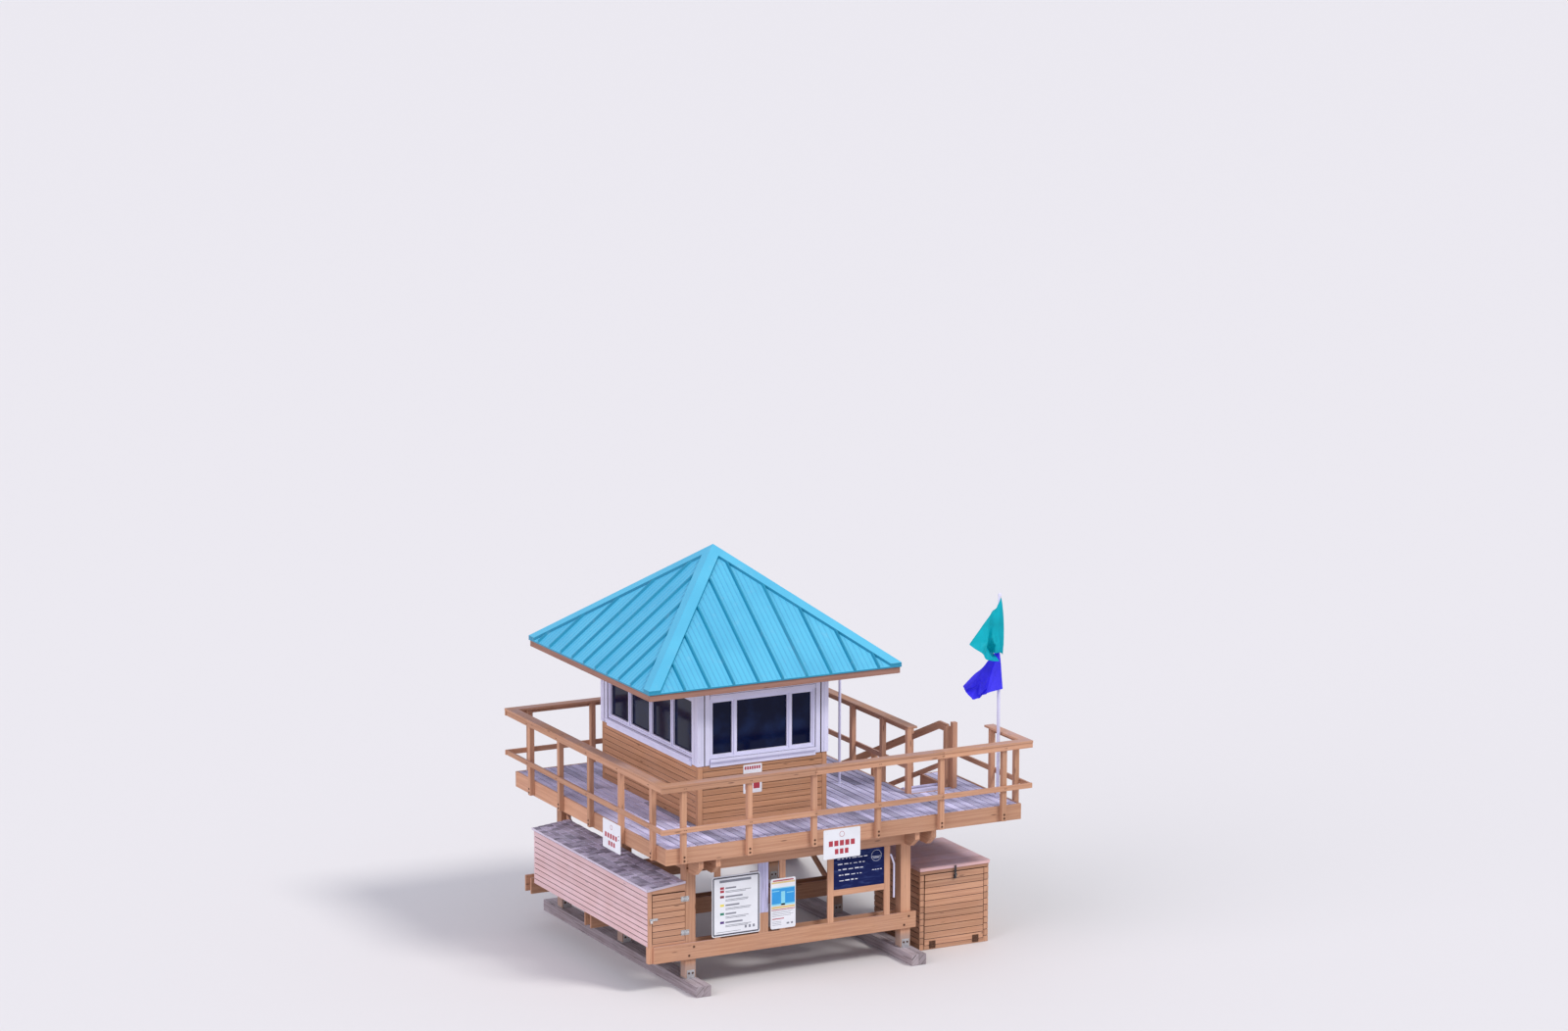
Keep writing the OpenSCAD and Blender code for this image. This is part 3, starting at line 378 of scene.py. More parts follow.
stained = wood_finish("stained pine", (0.62, 0.345, 0.215), (0.50, 0.255, 0.155),
                      (0.47, 0.35, 0.37), 0.08, 0.0)
post_wood = wood_finish("stained pine with grey feet", (0.62, 0.345, 0.215), (0.50, 0.255, 0.155),
                        (0.47, 0.35, 0.37), 0.08, 0.0, grey_foot=0.48)
fit(shaped("slotted_posts", "main_posts", post_wood, 0.006, seed=5), "stained_wood",
    "main_posts")

# Girders: two per row of posts, with the lower corner of each end cut off at a slant, and
# short blocks that tie the second one to the posts. Bolted through the posts' cheeks.
fit(shaped("paired_girders", "girders", stained, 0.005, seed=6), "stained_wood", "girders")
girder_bolts = [(x + side * 0.06, y - post_half - 0.0001, z) for x in post_rows for y in post_lines
                for side in (-1, 1) for z in (2.10, 2.25)]
bolts("girder_bolts", girder_bolts, "-Y", rusty_zinc, 0.010)

# Tie planks: wide planks bolted low on the front and back of every line of posts, header
# planks between the girders, and two diagonal braces in the bay on the sea side.
fit(shaped("tie_planks", "tie_beams", stained, 0.004, seed=7), "stained_wood", "tie_beams")
plank = 0.038
tie_bolts = [(x + dx, y - post_half - plank, z) for x in post_rows for y in post_lines
             for dx, z in ((-0.045, 0.60), (0.045, 0.745))]
bolts("tie_plank_bolts", tie_bolts, "-Y", rusty_zinc, 0.012)

# Joists: planks on edge across the girders, nailed through the rim at both ends.
deck_w, deck_d = 6.760, 5.960
bay_l, bay_r, bay_front, strip_end = 5.425, 6.230, 1.450, 2.600
joist_z = (2.317, 2.552)
joist_sticks = [(plank, deck_w - plank if y < 1.36 else bay_l - plank, y - plank / 2,
                 y + plank / 2, *joist_z) for y in [0.6 * k for k in range(1, 10)]]
joist_sticks += [(bay_r + plank, deck_w - plank, y - plank / 2, y + plank / 2, *joist_z)
                 for y in (1.6, 2.05)]
fit(timbers("deck_joists", joist_sticks, stained, arris=0.003, seed=8), "stained_wood", "joists")

# Rim boards: deep planks round the deck and both sides of the ramp bay, their joints
# butted, with the deck boards let in flush behind their top edge.
deck_top = 2.590
rim_z = (joist_z[0], deck_top)
front_run, back_run, left_run = (0, plank), (deck_d - plank, deck_d), (0, plank)
rim_sticks = [(0, 3.945, *front_run, *rim_z), (3.945, deck_w, *front_run, *rim_z),
              (*left_run, plank, 2.8, *rim_z), (*left_run, 2.8, deck_d - plank, *rim_z),
              (0, 2.729, *back_run, *rim_z), (2.729, bay_l, *back_run, *rim_z),
              (bay_l - plank, bay_l, bay_front - plank, 3.7, *rim_z),
              (bay_l - plank, bay_l, 3.7, deck_d - plank, *rim_z),
              (bay_l, bay_r, bay_front - plank, bay_front, *rim_z),
              (bay_r, bay_r + plank, bay_front - plank, strip_end - plank, *rim_z),
              (bay_r, deck_w - plank, strip_end - plank, strip_end, *rim_z),
              (deck_w - plank, deck_w, plank, strip_end, *rim_z)]
fit(timbers("rim_boards", rim_sticks, stained, arris=0.004, seed=9), "stained_wood", "rims")

# Deck boards: planks nailed across the joists, running from the land side to the sea
# side. Bare pine bleached lavender grey, with open gaps, worn edges and a nail row a joist.
deck_wood = wood_finish("deck wood", (0.56, 0.54, 0.79), (0.30, 0.29, 0.42),
                        (0.64, 0.63, 0.89), 0.35, 0.04, 0.85, spread=0.33)
board_pitch, board_gap = 0.1453, 0.018
bay_edge, strip_edge, board_low = bay_l - plank, bay_r + plank, joist_z[1]
deck_sticks, nail_spots = [], []
chance = random.Random(10)
for k in range(46):
    x0 = plank + k * board_pitch
    x1 = x0 + board_pitch - board_gap
    if x1 < bay_edge:
        back = deck_d - plank
    else:
        back = (bay_front if x0 < strip_edge - 0.05 else strip_end) - plank
    if x0 < bay_edge < x1:
        deck_sticks.append((x0, bay_edge - 0.003, back + 0.004, deck_d - plank, board_low,
                            deck_top))
    joint = 0.6 * chance.choice((3, 4, 5, 6, 7)) if back > 3 else None
    ends = (plank, joint - 0.002, joint + 0.002, back) if joint else (plank, back)
    for y0, y1 in zip(ends[::2], ends[1::2]):
        sink = 0.0015 * chance.random()
        deck_sticks.append((x0, x1, y0, y1, board_low, deck_top - sink))
    y = 0.6
    while y < back:
        nail_spots += [(x0 + 0.025, y, deck_top - 0.0015), (x1 - 0.025, y, deck_top - 0.0015)]
        y += 0.6
fit(timbers("deck_planks", deck_sticks, deck_wood, arris=0.005, seed=10), "weathered_wood",
    "deck_boards")
nails = blank("deck_nails")
for spot in nail_spots:
    rod(at(*spot), 0.005, 0.002, sides=6)
fit(closed(nails, rusty_zinc), "galvanised_steel")

# Railings: 89 mm posts bolted to the outside of the rim, a board on edge behind the cap and
# another at knee height across the posts, and a wide flat cap, butted over the posts.
post_t, post_z = 0.089, (2.339, 3.672)
mid_rail, top_rail, cap_z = (2.876, 2.965), (3.583, 3.672), (3.672, 3.710)
screw_pair = (-0.015, 0.015)


def railing(name, node_name, posts, run, cap_run, face, side, along, joints, seed):
    """A straight railing on the deck edge at face. side is -1 or 1, the way it stands off;
    along is x or y; joints are where its boards are butted. Two bolts a post."""
    post_out = face + side * post_t
    board_out = post_out + side * plank
    sticks = []

    def stick(a, b, near, far, z0, z1):
        c, d = sorted((near, far))
        sticks.append((a, b, c, d, z0, z1) if along == "x" else (c, d, a, b, z0, z1))

    def spots(depth, heights, shifts):
        return [(p + shift, depth, z) if along == "x" else (depth, p + shift, z)
                for p in posts for z in heights for shift in shifts]

    for p in posts:
        stick(p - post_t / 2, p + post_t / 2, face, post_out, *post_z)
    for (low, high), near, far, heights in ((run, post_out, board_out, top_rail),
                                            (run, post_out, board_out, mid_rail),
                                            (cap_run, face - side * 0.042, face + side * 0.142,
                                             cap_z)):
        stops = [low] + [j for j in joints if low < j < high] + [high]
        for a, b in zip(stops, stops[1:]):
            stick(a + (0.001 if a > low else 0), b - (0.001 if b < high else 0), near, far,
                  *heights)
    fit(timbers(name, sticks, stained, arris=0.005, seed=seed), "stained_wood", node_name)
    facing = ("-" if side < 0 else "+") + ("Y" if along == "x" else "X")
    bolts(name + "_bolts", spots(post_out, (2.389, 2.454), (0,)), facing, rusty_zinc)
    bolts(name + "_screws", spots(board_out, (3.628, 2.920), screw_pair), facing, rusty_zinc,
          0.004, 8)


front_posts = [0.297 + 1.216 * k for k in range(6)]
left_posts = [0.4 + 1.2 * k for k in range(5)]
railing("front_railing", "rail_front", front_posts, (-0.142, 6.902), (-0.142, 6.902),
        0, -1, "x", (2.729, 5.161), 11)
railing("left_railing", "rail_left", left_posts, (-0.089, 6.049), (0.042, 5.918),
        0, -1, "y", (2.8,), 12)
railing("right_railing", "rail_right", (0.275, 1.100), (-0.089, 1.1445), (0.042, 1.2195),
        deck_w, 1, "y", (), 13)
low_post, strip_out = 2.5, deck_w + post_t
low_rail = [(deck_w, strip_out, low_post - post_t / 2, low_post + post_t / 2,
             post_z[0], mid_rail[1]),
            (strip_out, strip_out + plank, 1.1455, strip_end, *mid_rail)]
fit(timbers("right_railing_low_end", low_rail, stained, arris=0.005, seed=131), "stained_wood")
bolts("right_railing_low_bolts", [(strip_out, low_post, z) for z in (2.389, 2.454)], "+X",
      rusty_zinc)
railing("sea_railing", "rail_back", front_posts[:5], (-0.142, bay_l), (-0.142, bay_l),
        deck_d, 1, "x", (2.729,), 14)

# Porch railing: its posts stand on the deck boards along the ramp bay, the first one beside
# the head of the ramp, with the boards on the ramp side and a cap that leans over the bay.
porch_posts = (1.4945, 2.4145, 3.5085, 4.6025, 5.6965)
porch_rails, porch_cap = (3.643, 2.976), (3.732, 3.770)
porch_sticks = [(bay_l - post_t, bay_l, y - post_t / 2, y + post_t / 2, deck_top, porch_cap[0])
                for y in porch_posts]
porch_sticks += [(bay_l, bay_l + plank, bay_front, deck_d, z, z + 0.089) for z in porch_rails]
porch_sticks += [(5.344, 5.528, bay_front, deck_d, *porch_cap)]
fit(timbers("porch_railing", porch_sticks, stained, arris=0.005, seed=15),
    "stained_wood", "rail_porch")
porch_screws = [(bay_l + plank, y + dy, z) for y in porch_posts for z in (3.688, 3.020)
                for dy in screw_pair]
bolts("porch_railing_screws", porch_screws, "+X", rusty_zinc, 0.004, 8)

# Ramp: three stringers that run level over a short landing and then fall to the beach,
# planks nailed across them, a gate post on the strip, and falling rails on the right side.
fit(shaped("ramp_stringers", "ramp_frame", stained, 0.004, seed=16), "stained_wood", "ramp_frame")
landing_end, toe = 1.840, 7.920
fall = deck_top / (toe - landing_end)
slant = math.atan(fall)
tread, tread_t, tread_gap = 0.14, 0.036, 0.012
ramp_boards = blank("ramp_planks")
y = bay_front + 0.002
while y < toe:
    middle_y = y + tread / 2
    if middle_y < landing_end - tread / 2:
        height, lean = 2.571, 0.0
    else:
        height, lean = deck_top - (middle_y - landing_end) * fall - 0.019 * math.cos(slant), -slant
    slab(at(5.8275, middle_y, height), (0.803, tread - tread_gap, tread_t), (lean, 0, 0))
    y += tread * (math.cos(slant) if lean else 1)
for point, way in (((0, 0, 0.0005), (0, 0, -1)), ((0, toe - 0.001, 0), (0, 1, 0))):
    bpy.ops.mesh.select_all(action="SELECT")
    bpy.ops.mesh.bisect(plane_co=at(*point), plane_no=way, clear_outer=True, use_fill=True)
fit(closed(ramp_boards, deck_wood, 0.004, seed=17), "weathered_wood", "ramp_boards")
fit(shaped("ramp_rails_and_gate_post", "ramp_rails", stained, 0.005, seed=18),
    "stained_wood", "ramp_rails")

# Cabin walls: framed walls closed with horizontal grooved boards, stained brown, between
# upright corner boards. The boards show up to the window sills, where white trim begins.
siding = wood_finish("cabin siding", (0.56, 0.29, 0.165), (0.44, 0.215, 0.115),
                     (0.50, 0.38, 0.34), 0.06, 0.0)
# The dark brown of the framed core is painted shade: it fills the open joints between the boards
# with the shade of each joint.
groove_shade = wood_finish("siding groove", (0.13, 0.065, 0.035), (0.09, 0.045, 0.025),
                     (0.15, 0.09, 0.06), 0.0, 0.0, 0.9)
left, right, front, back = 1.150, 3.590, 1.120, 4.840
floor_z, sill_z, top_z = deck_top, 3.620, 4.985
hole = (3.720, 4.750)
skin, wall_t, corner, jamb = 0.019, 0.100, 0.090, 0.220


def courses(z0, z1, pitch=0.0985, joint=0.010):
    """Lower and upper edge of each board between two heights."""
    count = round((z1 - z0) / pitch)
    step = (z1 - z0) / count
    return [(z0 + k * step, z0 + (k + 1) * step - joint) for k in range(count)]


def wall_piece(name, node_name, core, boards, seed):
    """The framed core in a dark colour that is painted shade in the open joints, and the boards
    outside it, as one piece.
    """
    fit(timbers(name + "_core", core, groove_shade, arris=0.002, steps=1, seed=seed),
        "stained_wood", node_name)
    fit(timbers(name + "_boards", boards, siding, arris=0.0035, seed=seed + 50),
        "stained_wood")


def side_boards(x0, x1, *runs):
    """Boards of a side wall in runs along its depth, and the boards of its two corners."""
    boards = [(x0, x1, y0, y1, z0, z1) for y0, y1 in runs
              for z0, z1 in courses(floor_z + 0.005, sill_z)]
    return boards + [(x0, x1, front + skin + 0.001, front + corner - 0.004, floor_z, sill_z),
                     (x0, x1, back - corner + 0.004, back - skin - 0.001, floor_z, sill_z)]


for name, node_name, y_out, y_in, y_board, seed in (
        ("front_wall", "wall_front", front + skin, front + wall_t, (front, front + skin), 20),
        ("sea_wall", "wall_back", back - wall_t, back - skin, (back - skin, back), 21)):
    core = [(left + skin, right - skin, y_out, y_in, floor_z, hole[0]),
            (left + skin, right - skin, y_out, y_in, hole[1], top_z),
            (left + skin, left + jamb, y_out, y_in, *hole),
            (right - jamb, right - skin, y_out, y_in, *hole)]
    boards = [(left + corner, right - corner, *y_board, z0, z1)
              for z0, z1 in courses(floor_z + 0.005, sill_z)]
    boards += [(left, left + corner - 0.004, *y_board, floor_z, sill_z),
               (right - corner + 0.004, right, *y_board, floor_z, sill_z)]
    wall_piece(name, node_name, core, boards, seed)

side_y = (front + wall_t, back - wall_t)
side_hole = (front + jamb, back - jamb)
door_y, door_top = (1.620, 2.480), 4.620
right_hole = (door_y[1] + 0.3, side_hole[1])
inside = (left + skin, left + wall_t)
core = [(*inside, *side_y, floor_z, hole[0]), (*inside, *side_y, hole[1], top_z),
        (*inside, side_y[0], side_hole[0], *hole), (*inside, side_hole[1], side_y[1], *hole)]
boards = side_boards(left, left + skin, (front + corner, back - corner))
wall_piece("left_wall", "wall_left", core, boards, 22)
inside = (right - wall_t, right - skin)
core = [(*inside, side_y[0], door_y[0], floor_z, top_z), (*inside, *door_y, door_top, top_z),
        (*inside, door_y[1], right_hole[0], floor_z, top_z),
        (*inside, *right_hole, floor_z, hole[0]), (*inside, *right_hole, hole[1], top_z),
        (*inside, right_hole[1], side_y[1], *hole)]
boards = side_boards(right - skin, right, (front + corner, door_y[0] - 0.004),
                     (door_y[1] + 0.004, back - corner))
wall_piece("porch_wall", "wall_right", core, boards, 23)

# Window trim: white painted boards round the cabin from the sills to the ceiling, mitred
# into wide corner boards, a sloping sill under each row of lights, and a moulded frame
# stepped in two rebates round every light. Gloss paint, chalking and a little dirty.


def paint_finish(name, colour, dirt, roughness=0.42):
    """Gloss paint or ink with a faint uneven tone and specks of dirt."""
    finish, tree, shader = new_finish(name, roughness)
    where = node(tree, "ShaderNodeTexCoord").outputs["Object"]
    wide = clouds(tree, where, 2.3, 6.0)
    fine = clouds(tree, where, 45.0, 5.0)
    base = blend_colours(tree, ramp(tree, wide, 0.35, 0.75), colour, [c * 0.90 for c in colour])
    base = blend_colours(tree, ramp(tree, fine, 0.62, 0.80), base, dirt)
    tree.links.new(base, shader.inputs["Base Color"])
    emboss(tree, shader, fine, 0.12, 0.0008)
    return finish


# This white is darker and bluer than the paint itself: partly painted shade, the bluish shade under
# the eaves.
white = paint_finish("white gloss paint with painted shade", (0.72, 0.72, 0.93), (0.42, 0.41, 0.50))
casing = ((0.0, 0.060, 0.020), (0.064, 0.108, 0.016), (0.130, 0.2165, 0.010))
bands = ((sill_z - 0.035, hole[0] - 0.04, 0.020), (hole[0] - 0.04, hole[0], 0.060),
         (hole[1], hole[1] + 0.065, 0.014), (hole[1] + 0.073, top_z, 0.020))
board_inset = 0.223
trim = []
for wall_y, out in ((front, -1), (back, 1)):
    for a, b, thick in casing:
        y0, y1 = sorted((wall_y, wall_y + out * thick))
        reach = 0.02 if a == 0 else 0
        trim += [(left + a - reach, left + b, y0, y1, sill_z, top_z),
                 (right - b, right - a + reach, y0, y1, sill_z, top_z)]
    for z0, z1, thick in bands:
        y0, y1 = sorted((wall_y, wall_y + out * thick))
        trim.append((left + board_inset, right - board_inset, y0, y1, z0, z1))
for wall_x, out, hole_y in ((left, -1, side_hole), (right, 1, right_hole)):
    for a, b, thick in casing:
        x0, x1 = sorted((wall_x, wall_x + out * thick))
        trim.append((x0, x1, back - b, back - a, sill_z, top_z))
        if out < 0:
            trim.append((x0, x1, front + a, front + b, sill_z, top_z))
    for z0, z1, thick in bands:
        x0, x1 = sorted((wall_x, wall_x + out * thick))
        trim.append((x0, x1, hole_y[0] + 0.003, hole_y[1] - 0.003, z0, z1))
trim += [(right, right + 0.02, front, front + 0.06, sill_z, top_z),
         (right, right + 0.016, front + 0.064, door_y[0], sill_z, top_z),
         (right, right + 0.02, door_y[0] + 0.003, door_y[1] - 0.003, door_top, top_z),
         (right, right + 0.016, door_y[1], right_hole[0], sill_z, top_z)]


def light_frames(along, low, high, bars, plane, inward):
    """Sticks of a moulded frame with upright bars; plane is its outer face and inward the
    way to the room. Each light gets a second, narrower rebate."""
    sticks = []

    def stick(a, b, z0, z1, d0, d1):
        near, far = sorted((plane + inward * d0, plane + inward * d1))
        sticks.append((a, b, near, far, z0, z1) if along == "x" else (near, far, a, b, z0, z1))

    z0, z1 = hole
    outer, inner, bar = 0.040, 0.030, 0.016
    deep, rebate = (0, 0.06), (0.018, 0.055)
    stick(low, low + outer, z0, z1, *deep)
    stick(high - outer, high, z0, z1, *deep)
    stick(low + outer, high - outer, z0, z0 + outer, *deep)
    stick(low + outer, high - outer, z1 - outer, z1, *deep)
    edges = [low + outer] + [v for b in bars for v in (b - bar, b + bar)] + [high - outer]
    for b in bars:
        stick(b - bar, b + bar, z0 + outer, z1 - outer, *deep)
    for a, b in zip(edges[::2], edges[1::2]):
        stick(a, a + inner, z0 + outer, z1 - outer, *rebate)
        stick(b - inner, b, z0 + outer, z1 - outer, *rebate)
        stick(a + inner, b - inner, z0 + outer, z0 + outer + inner, *rebate)
        stick(a + inner, b - inner, z1 - outer - inner, z1 - outer, *rebate)
    return sticks


middle_x = (left + right) / 2
lights = [middle_x - 0.52, middle_x + 0.52]
span = side_hole[1] - side_hole[0]
sashes = light_frames("x", left + jamb, right - jamb, lights, front + 0.01, 1)
sashes += light_frames("x", left + jamb, right - jamb, lights, back - 0.01, -1)
sashes += light_frames("y", *side_hole, [side_hole[0] + span * k / 4 for k in (1, 2, 3)],
                       left + 0.01, 1)
sashes += light_frames("y", *right_hole, [sum(right_hole) / 2], right - 0.01, -1)
fit(timbers("window_trim", trim, white, arris=0.003, seed=24), "white_paint", "window_frames")
fit(timbers("window_sashes", sashes, white, arris=0.002, seed=25), "white_paint")

# Window glass: one dark sheet behind the lights of each wall, puttied in from the room side.
# Its near black navy colour is painted shade of the unlit room behind it; it reflects the pale
# sky and shows nothing of the room.
glass, tree, shader = new_finish("dark glass with painted room shade", 0.06, specular=0.12)
where = node(tree, "ShaderNodeTexCoord").outputs["Object"]
haze = clouds(tree, where, 3.0, 5.0)
# Two near black blues in faint haze: painted shade of the room behind the glass.
tint = blend_colours(tree, ramp(tree, haze, 0.4, 0.8), (0.002, 0.005, 0.028),
                     (0.006, 0.016, 0.065))
tree.links.new(tint, shader.inputs["Base Color"])
film = node(tree, "ShaderNodeMapRange", {0: haze, 3: 0.04, 4: 0.14}).outputs[0]
tree.links.new(film, shader.inputs["Roughness"])
pane_x, pane_z = (left + 0.24, right - 0.24), (hole[0] + 0.02, hole[1] - 0.02)
panes = [(*pane_x, front + 0.07, front + 0.076, *pane_z),
         (*pane_x, back - 0.076, back - 0.07, *pane_z),
         (left + 0.07, left + 0.076, side_hole[0] + 0.02, side_hole[1] - 0.02, *pane_z),
         (right - 0.076, right - 0.07, right_hole[0] + 0.02, right_hole[1] - 0.02, *pane_z)]
fit(timbers("window_panes", panes, glass, arris=0.001, steps=1, seed=26), "dark_glass",
    "window_glass")

# Cabin door: white painted framed door with three sunk panels, a round knob and a dead
# bolt above it. It hangs in the porch side doorway and is shown shut.
door_x, stile = (right - 0.070, right - 0.025), 0.110
panel_x, panel_y = (door_x[0] + 0.012, door_x[1] - 0.012), (door_y[0] + stile, door_y[1] - stile)
door = [(*door_x, door_y[0], panel_y[0], floor_z, door_top),
        (*door_x, panel_y[1], door_y[1], floor_z, door_top)]
rails = (floor_z, floor_z + 0.20, floor_z + 0.78, floor_z + 0.90, floor_z + 1.38, floor_z + 1.48,
         door_top - 0.12, door_top)
door += [(*door_x, *panel_y, z0, z1) for z0, z1 in zip(rails[::2], rails[1::2])]
door += [(*panel_x, *panel_y, z0, z1) for z0, z1 in zip(rails[1:-1:2], rails[2::2])]
fit(timbers("cabin_door_leaf", door, white, arris=0.003, seed=27), "white_paint", "cabin_door")


def in_order():
    """Puts the points in one fixed order, because a ball's come in a new one each run."""
    bpy.ops.mesh.select_all(action="SELECT")
    bpy.ops.mesh.sort_elements(type="CURSOR_DISTANCE", elements={"VERT", "EDGE", "FACE"})


knob = blank("cabin_door_knob")
for z, radius in ((3.55, 0.026), (3.70, 0.016)):
    spot = at(door_x[1], door_y[0] + 0.06, z)
    rod(spot + Vector((0.003, 0, 0)), radius * 1.25, 0.006, (0, quarter_turn, 0), 24)
    bpy.ops.mesh.primitive_uv_sphere_add(segments=24, ring_count=12, radius=radius,
                                         location=spot + Vector((radius * 0.9 + 0.006, 0, 0)))
in_order()
fit(closed(knob, zinc), "galvanised_steel")

# Eaves ceiling: tongued boards nailed up under the rafters, stained brown.
half, eave_lip, fascia_t = 2.375, 0.020, 0.038
roof_x, roof_y = 2.370, 2.980
inner = half - eave_lip - fascia_t
step = 2 * inner / 34
ceiling = [(roof_x - inner + k * step, roof_x - inner + (k + 1) * step - 0.003,
            roof_y - inner, roof_y + inner, top_z, 5.003) for k in range(34)]
fit(timbers("eaves_ceiling", ceiling, siding, arris=0.002, steps=1, seed=28), "stained_wood",
    "ceiling")

# Fascia: brown boards round the eaves, nailed to the rafter ends, their lower edge hanging a
# little below the eaves ceiling.
fascia_wood = wood_finish("fascia stain", (0.37, 0.195, 0.150), (0.28, 0.140, 0.105),
                          (0.36, 0.24, 0.21), 0.10, 0.0)
far = half - eave_lip
fascia_z = (top_z - 0.025, 5.095)
both_sides = ((-far, -inner), (inner, far))
fascia = [(roof_x - far, roof_x + far, roof_y + a, roof_y + b, *fascia_z) for a, b in both_sides]
fascia += [(roof_x + a, roof_x + b, roof_y - inner, roof_y + inner, *fascia_z)
           for a, b in both_sides]
fit(timbers("fascia_boards", fascia, fascia_wood, arris=0.004, seed=29), "stained_wood",
    "fascia")

# Roof: four slopes of coated steel sheets, turquoise pans between high ribs, low stiffening ribs
# in each pan, a folded drip edge, and bent hip caps. The deeper teal of the high ribs, the drip
# edge and the caps' sides, and the darker turquoise of the low ribs, are painted shade.
# Screwed down the ribs; the coating is satin, a little chalked, with faint rain streaks.


def coat_finish(name, colour, shade):
    """Factory coating, a little chalked, with faint streaks down the slope."""
    finish, tree, shader = new_finish(name, 0.38)
    where = node(tree, "ShaderNodeTexCoord").outputs["Object"]
    streaks = clouds(tree, stretched(tree, where, (4.0, 4.0, 0.5)), 1.6, 6.0)
    patches = clouds(tree, where, 0.9, 4.0)
    base = blend_colours(tree, ramp(tree, patches, 0.35, 0.7), colour, shade)
    base = blend_colours(tree, ramp(tree, streaks, 0.58, 0.92), base,
                         [0.8 * c + 0.10 for c in colour])
    tree.links.new(base, shader.inputs["Base Color"])
    rough = node(tree, "ShaderNodeMapRange", {0: streaks, 3: 0.28, 4: 0.5}).outputs[0]
    tree.links.new(rough, shader.inputs["Roughness"])
    return finish


aqua = coat_finish("turquoise roof coating", (0.090, 0.49, 0.73), (0.075, 0.44, 0.68))
# Teal coat: painted shade on the high ribs' flanks and tops, the drip edge and the caps' sides.
teal = coat_finish("rib coating painted shade", (0.006, 0.23, 0.39), (0.008, 0.26, 0.42))
# Darker turquoise: painted shade along the low ribs.
shaded_aqua = coat_finish("low rib coating painted shade", (0.075, 0.41, 0.65), (0.07, 0.38, 0.62))
eave_z, roof_rise = 5.095, 1.830
roof_fall = roof_rise / half
sheets = shaped("roof_sheets", "roof_metal", aqua, 0.003, 2, seed=30)
sheets.data.materials.append(teal)
# Faces that stand above the pans or hang below the eaves get the teal painted shade.
for face in sheets.data.polygons:
    x, y, z = face.center + deck_mid
    off = max(abs(x - roof_x), abs(y - roof_y))
    above_pan = z - eave_z - roof_fall * (half - off)
    face.material_index = 1 if above_pan > 0.004 or z < eave_z else 0
fit(sheets, "roof_paint", "roof_metal")
pitch_angle = math.atan(roof_fall)
rib_pitch, cap_half, eave_gap = 0.457, 0.2126, 0.01
low_ribs = blank("roof_low_ribs")
for quarter, shift in enumerate((-0.120, 0.076, -0.120, 0.076)):
    turn = Matrix.Rotation(quarter * quarter_turn, 3, "Z")
    for k in range(-30, 30):
        across = shift + (k + 0.5) * rib_pitch / 5
        run = half - cap_half - abs(across) - 2 * eave_gap
        if round(k - 2) % 5 == 0 or run < 0.05:
            continue
        up = eave_gap + run / 2
        spot = turn @ Vector((across, up - half, 0))
        slab(spot + at(roof_x, roof_y, eave_z + up * roof_fall),
             (0.016, run / math.cos(pitch_angle), 0.009), (pitch_angle, 0, quarter * quarter_turn))
fit(closed(low_ribs, shaded_aqua, 0.0025, 1), "roof_paint")
caps = shaped("hip_caps_bent", "hip_caps", aqua, 0.004, 2, seed=31)
caps.data.materials.append(teal)
# The caps' steep sides get the teal painted shade.
for face in caps.data.polygons:
    face.material_index = 1 if abs(face.normal.z) < 0.45 else 0
fit(caps, "roof_paint", "hip_caps")

# Eave pipe: thin tube painted white, on a flange, from the porch deck to the ceiling.
pipe_tall, flange_r, flange_t = top_z - deck_top, 0.060, 0.008
foot = at(4.662, 2.660, deck_top)
pipe = blank("eave_prop_pipe")
rod(foot + Vector((0, 0, pipe_tall / 2)), 0.024, pipe_tall)
rod(foot + Vector((0, 0, flange_t / 2)), flange_r, flange_t)
fit(closed(pipe, white, 0.0015), "galvanised_steel", "eave_pipe")

# Locker: a long board locker for rescue boards under the left edge of the deck. Grooved
# boards on a frame, its left side bleached pink by the sun, with a plain framed front and a
# short corner post that stands down to the height of the tie planks.
bleached = wood_finish("bleached siding", (0.75, 0.52, 0.53), (0.68, 0.45, 0.45),
                       (0.78, 0.59, 0.64), 0.45, 0.0, spread=0.06)
box_l, box_r, box_f, box_b = -0.105, 0.580, 0.450, 4.980
box_low, box_high, box_rise = 0.820, 1.780, 0.070
roof_lean = math.atan(box_rise / (box_r - box_l))


def sawn(piece, point, way, fill=True):
    """Saws the piece at the plane through point; what lies on the side of way goes."""
    opened(piece)
    bpy.ops.mesh.bisect(plane_co=at(*point), plane_no=way, clear_outer=True, use_fill=fill)
    bpy.ops.object.mode_set(mode="OBJECT")
    return piece


tall, frame_t, board_t = box_high + box_rise + 0.01, 0.040, 0.013
inner_l, inner_r = box_l + frame_t, box_r - frame_t
inner_f, inner_b = box_f + frame_t, box_b - frame_t
skin_l, skin_r, skin_b = box_l + board_t, box_r - board_t, box_b - board_t
core = [(inner_l, inner_r, inner_f, inner_b, box_low, box_low + frame_t),
        (skin_l, inner_l, inner_f, skin_b, box_low, tall),
        (inner_r, skin_r, inner_f, skin_b, box_low, tall),
        (inner_l, inner_r, inner_b, skin_b, box_low, tall)]
front_frame = [(box_l, box_l + 0.066, box_f, inner_f, box_low, tall),
               (box_l + 0.07, box_r, box_f, inner_f, box_high - 0.056, tall),
               (box_l + 0.07, box_r, box_f, inner_f, box_low, box_low + 0.045),
               (box_l, box_l + 0.095, box_f, box_f + 0.095, 0.534, box_low)]
pale_boards = [(box_l, skin_l, inner_f + 0.002, box_b, z0, z1)
               for z0, z1 in courses(box_low, tall, 0.096, 0.014)]
